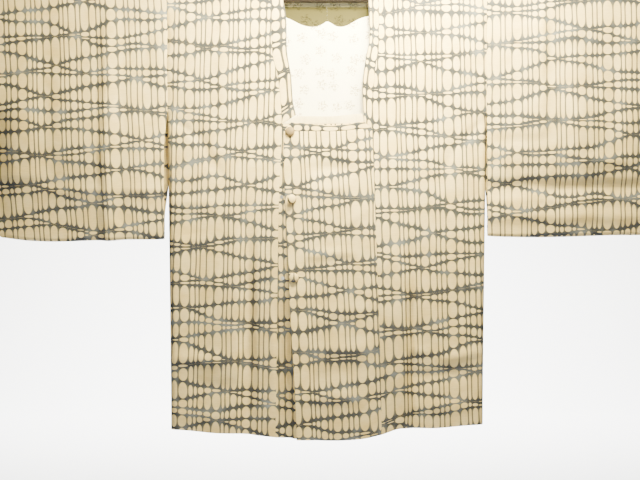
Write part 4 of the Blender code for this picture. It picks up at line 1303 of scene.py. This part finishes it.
def makeHook():
    bend, wire = hanger["bend"], hanger["wire"]
    centre = wire / 2 - bend
    foot = rodLevel + rodRadius + coat["gap"]
    neckTop = foot + hanger["neck"]
    points = [(0, foot), (0, foot + hanger["collar"]), (0, mix(foot, neckTop, 0.6)), (0, neckTop)]
    points += [(bend * ease(t), mix(neckTop, centre, t)) for t in spread(0, 1, 16)]
    points += [(bend * math.cos(a), centre + bend * math.sin(a))
               for a in spread(0, math.radians(hanger["crownTurn"]), 40)]
    curve = bpy.data.curves.new("hangerHook", "CURVE")
    curve.dimensions = "3D"
    curve.bevel_depth = wire / 2
    curve.bevel_resolution = 6
    curve.use_fill_caps = True
    spline = curve.splines.new("POLY")
    spline.points.add(len(points) - 1)
    for slot, (x, z) in zip(spline.points, points):
        slot.co = (x, 0, z, 1)
    curve.materials.append(steelWire)
    piece = bpy.data.objects.new("hangerHook", curve)
    bpy.context.collection.objects.link(piece)
    place(piece, "hanger_hook")


makeRod()
makeHook()
print("buttons and hanger made")


stage = {
    "floor": -1.75, "back": 7.0, "top": 2.6, "sweep": 1.2, "halfWidth": 4.2, "front": -4.0,
    "sky": "#f4f3f4", "skyStrength": 0.15,
    "paper": "#ebebe9",
    "tooth": 16.7,         # millimetres, coarse so that it shows
    "lights": [
        {"name": "key", "at": (0.15, -0.36, 0.208), "aim": (0.09, 0.0, -0.12), "size": (0.55, 0.14),
         "power": 63, "colour": "#fbeebd"},
        {"name": "collar", "at": (0.18, -0.95, 0.42), "aim": (0.05, 0.0, -0.13),
         "size": (0.20, 0.20), "power": 5, "colour": "#fdf3c8", "spread": 42},
        {"name": "fill", "at": (-0.3, -2.0, -1.0), "aim": (0.0, 0.0, -0.75), "size": (1.2, 1.2),
         "power": 17, "colour": "#f5f5ee"},
        {"name": "behind", "at": (0.55, 0.50, 0.30), "aim": (0.0, 0.0, -0.40), "size": (0.6, 0.25),
         "power": 34, "colour": "#f8f4ea"},
        {"name": "backdrop", "at": (0.0, 4.9, 2.5), "aim": (0.0, 7.0, -0.7), "size": (5.0, 0.8),
         "power": 1950, "colour": "#ffffff"},
    ],
}


def makePaper():
    # Seamless paper: pale and quite matt, with a faint tooth
    material, tree = newMaterial("seamlessPaper")
    spot = addNode(tree, "ShaderNodeTexCoord")
    nap = addNode(tree, "ShaderNodeTexNoise",
                  {"Vector": spot.outputs["Object"], "Scale": perMetre(stage["tooth"])})
    bump = addNode(tree, "ShaderNodeBump",
                   {"Strength": 0.05, "Distance": 0.001, "Height": nap.outputs[0]})
    shader = addNode(tree, "ShaderNodeBsdfPrincipled",
                     {"Base Color": hexToLinear(stage["paper"]), "Roughness": 0.85,
                      "Normal": bump.outputs[0]})
    addNode(tree, "ShaderNodeOutputMaterial", {0: shader.outputs[0]})
    return material


def makeStage():
    # a sheet of paper that lies on the floor and sweeps up behind
    floor, back, bend = stage["floor"], stage["back"], stage["sweep"]
    section = [(stage["front"], floor), (back - bend, floor)]
    section += [(back - bend + bend * math.sin(a), floor + bend * (1 - math.cos(a)))
                for a in spread(0, math.pi / 2, 14)]
    section.append((back, stage["top"]))
    wide = stage["halfWidth"]
    mesh = bpy.data.meshes.new("paperSweep")
    count = len(section)
    mesh.from_pydata([(x, y, z) for x in (-wide, wide) for y, z in section], [],
                     [(i, i + 1, i + 1 + count, i + count) for i in range(count - 1)])
    mesh.shade_smooth()
    mesh.materials.append(makePaper())
    sweep = bpy.data.objects.new("paperSweep", mesh)
    bpy.context.collection.objects.link(sweep)
    world = bpy.data.worlds.new("studio")
    bpy.context.scene.world = world
    world.use_nodes = True
    sky = world.node_tree.nodes["Background"]
    sky.inputs[0].default_value = hexToLinear(stage["sky"])
    sky.inputs[1].default_value = stage["skyStrength"]
    for lamp in stage["lights"]:
        light = bpy.data.lights.new(lamp["name"], "AREA")
        light.shape = "RECTANGLE"
        light.size, light.size_y = lamp["size"]
        light.energy = lamp["power"]
        light.color = hexToLinear(lamp["colour"])[:3]
        light.spread = math.radians(lamp.get("spread", 180))
        holder = bpy.data.objects.new(lamp["name"], light)
        holder.location = lamp["at"]
        way = Vector(lamp["aim"]) - Vector(lamp["at"])
        holder.rotation_euler = way.to_track_quat("-Z", "Y").to_euler()
        holder.visible_camera = False
        bpy.context.collection.objects.link(holder)


camera = {
    "scale": 500,          # picture points to a metre of the coat
    "pictureWidth": 640,
    "distance": 2.50,
    "centreX": -0.014,
    "fall": 0.500,         # the lens is level with this fall
    "sensor": 36.0,
}


def makeCamera():
    lens = bpy.data.cameras.new("camera")
    lens.sensor_width = camera["sensor"]
    reach = camera["distance"] - body["frontBow"]
    lens.lens = camera["scale"] * reach * camera["sensor"] / camera["pictureWidth"]
    holder = bpy.data.objects.new("camera", lens)
    holder.location = (camera["centreX"], -camera["distance"], shoulderLevel - camera["fall"])
    holder.rotation_euler = (math.pi / 2, 0, 0)
    bpy.context.collection.objects.link(holder)
    bpy.context.scene.camera = holder


makeStage()
makeCamera()
print("stage and camera made")
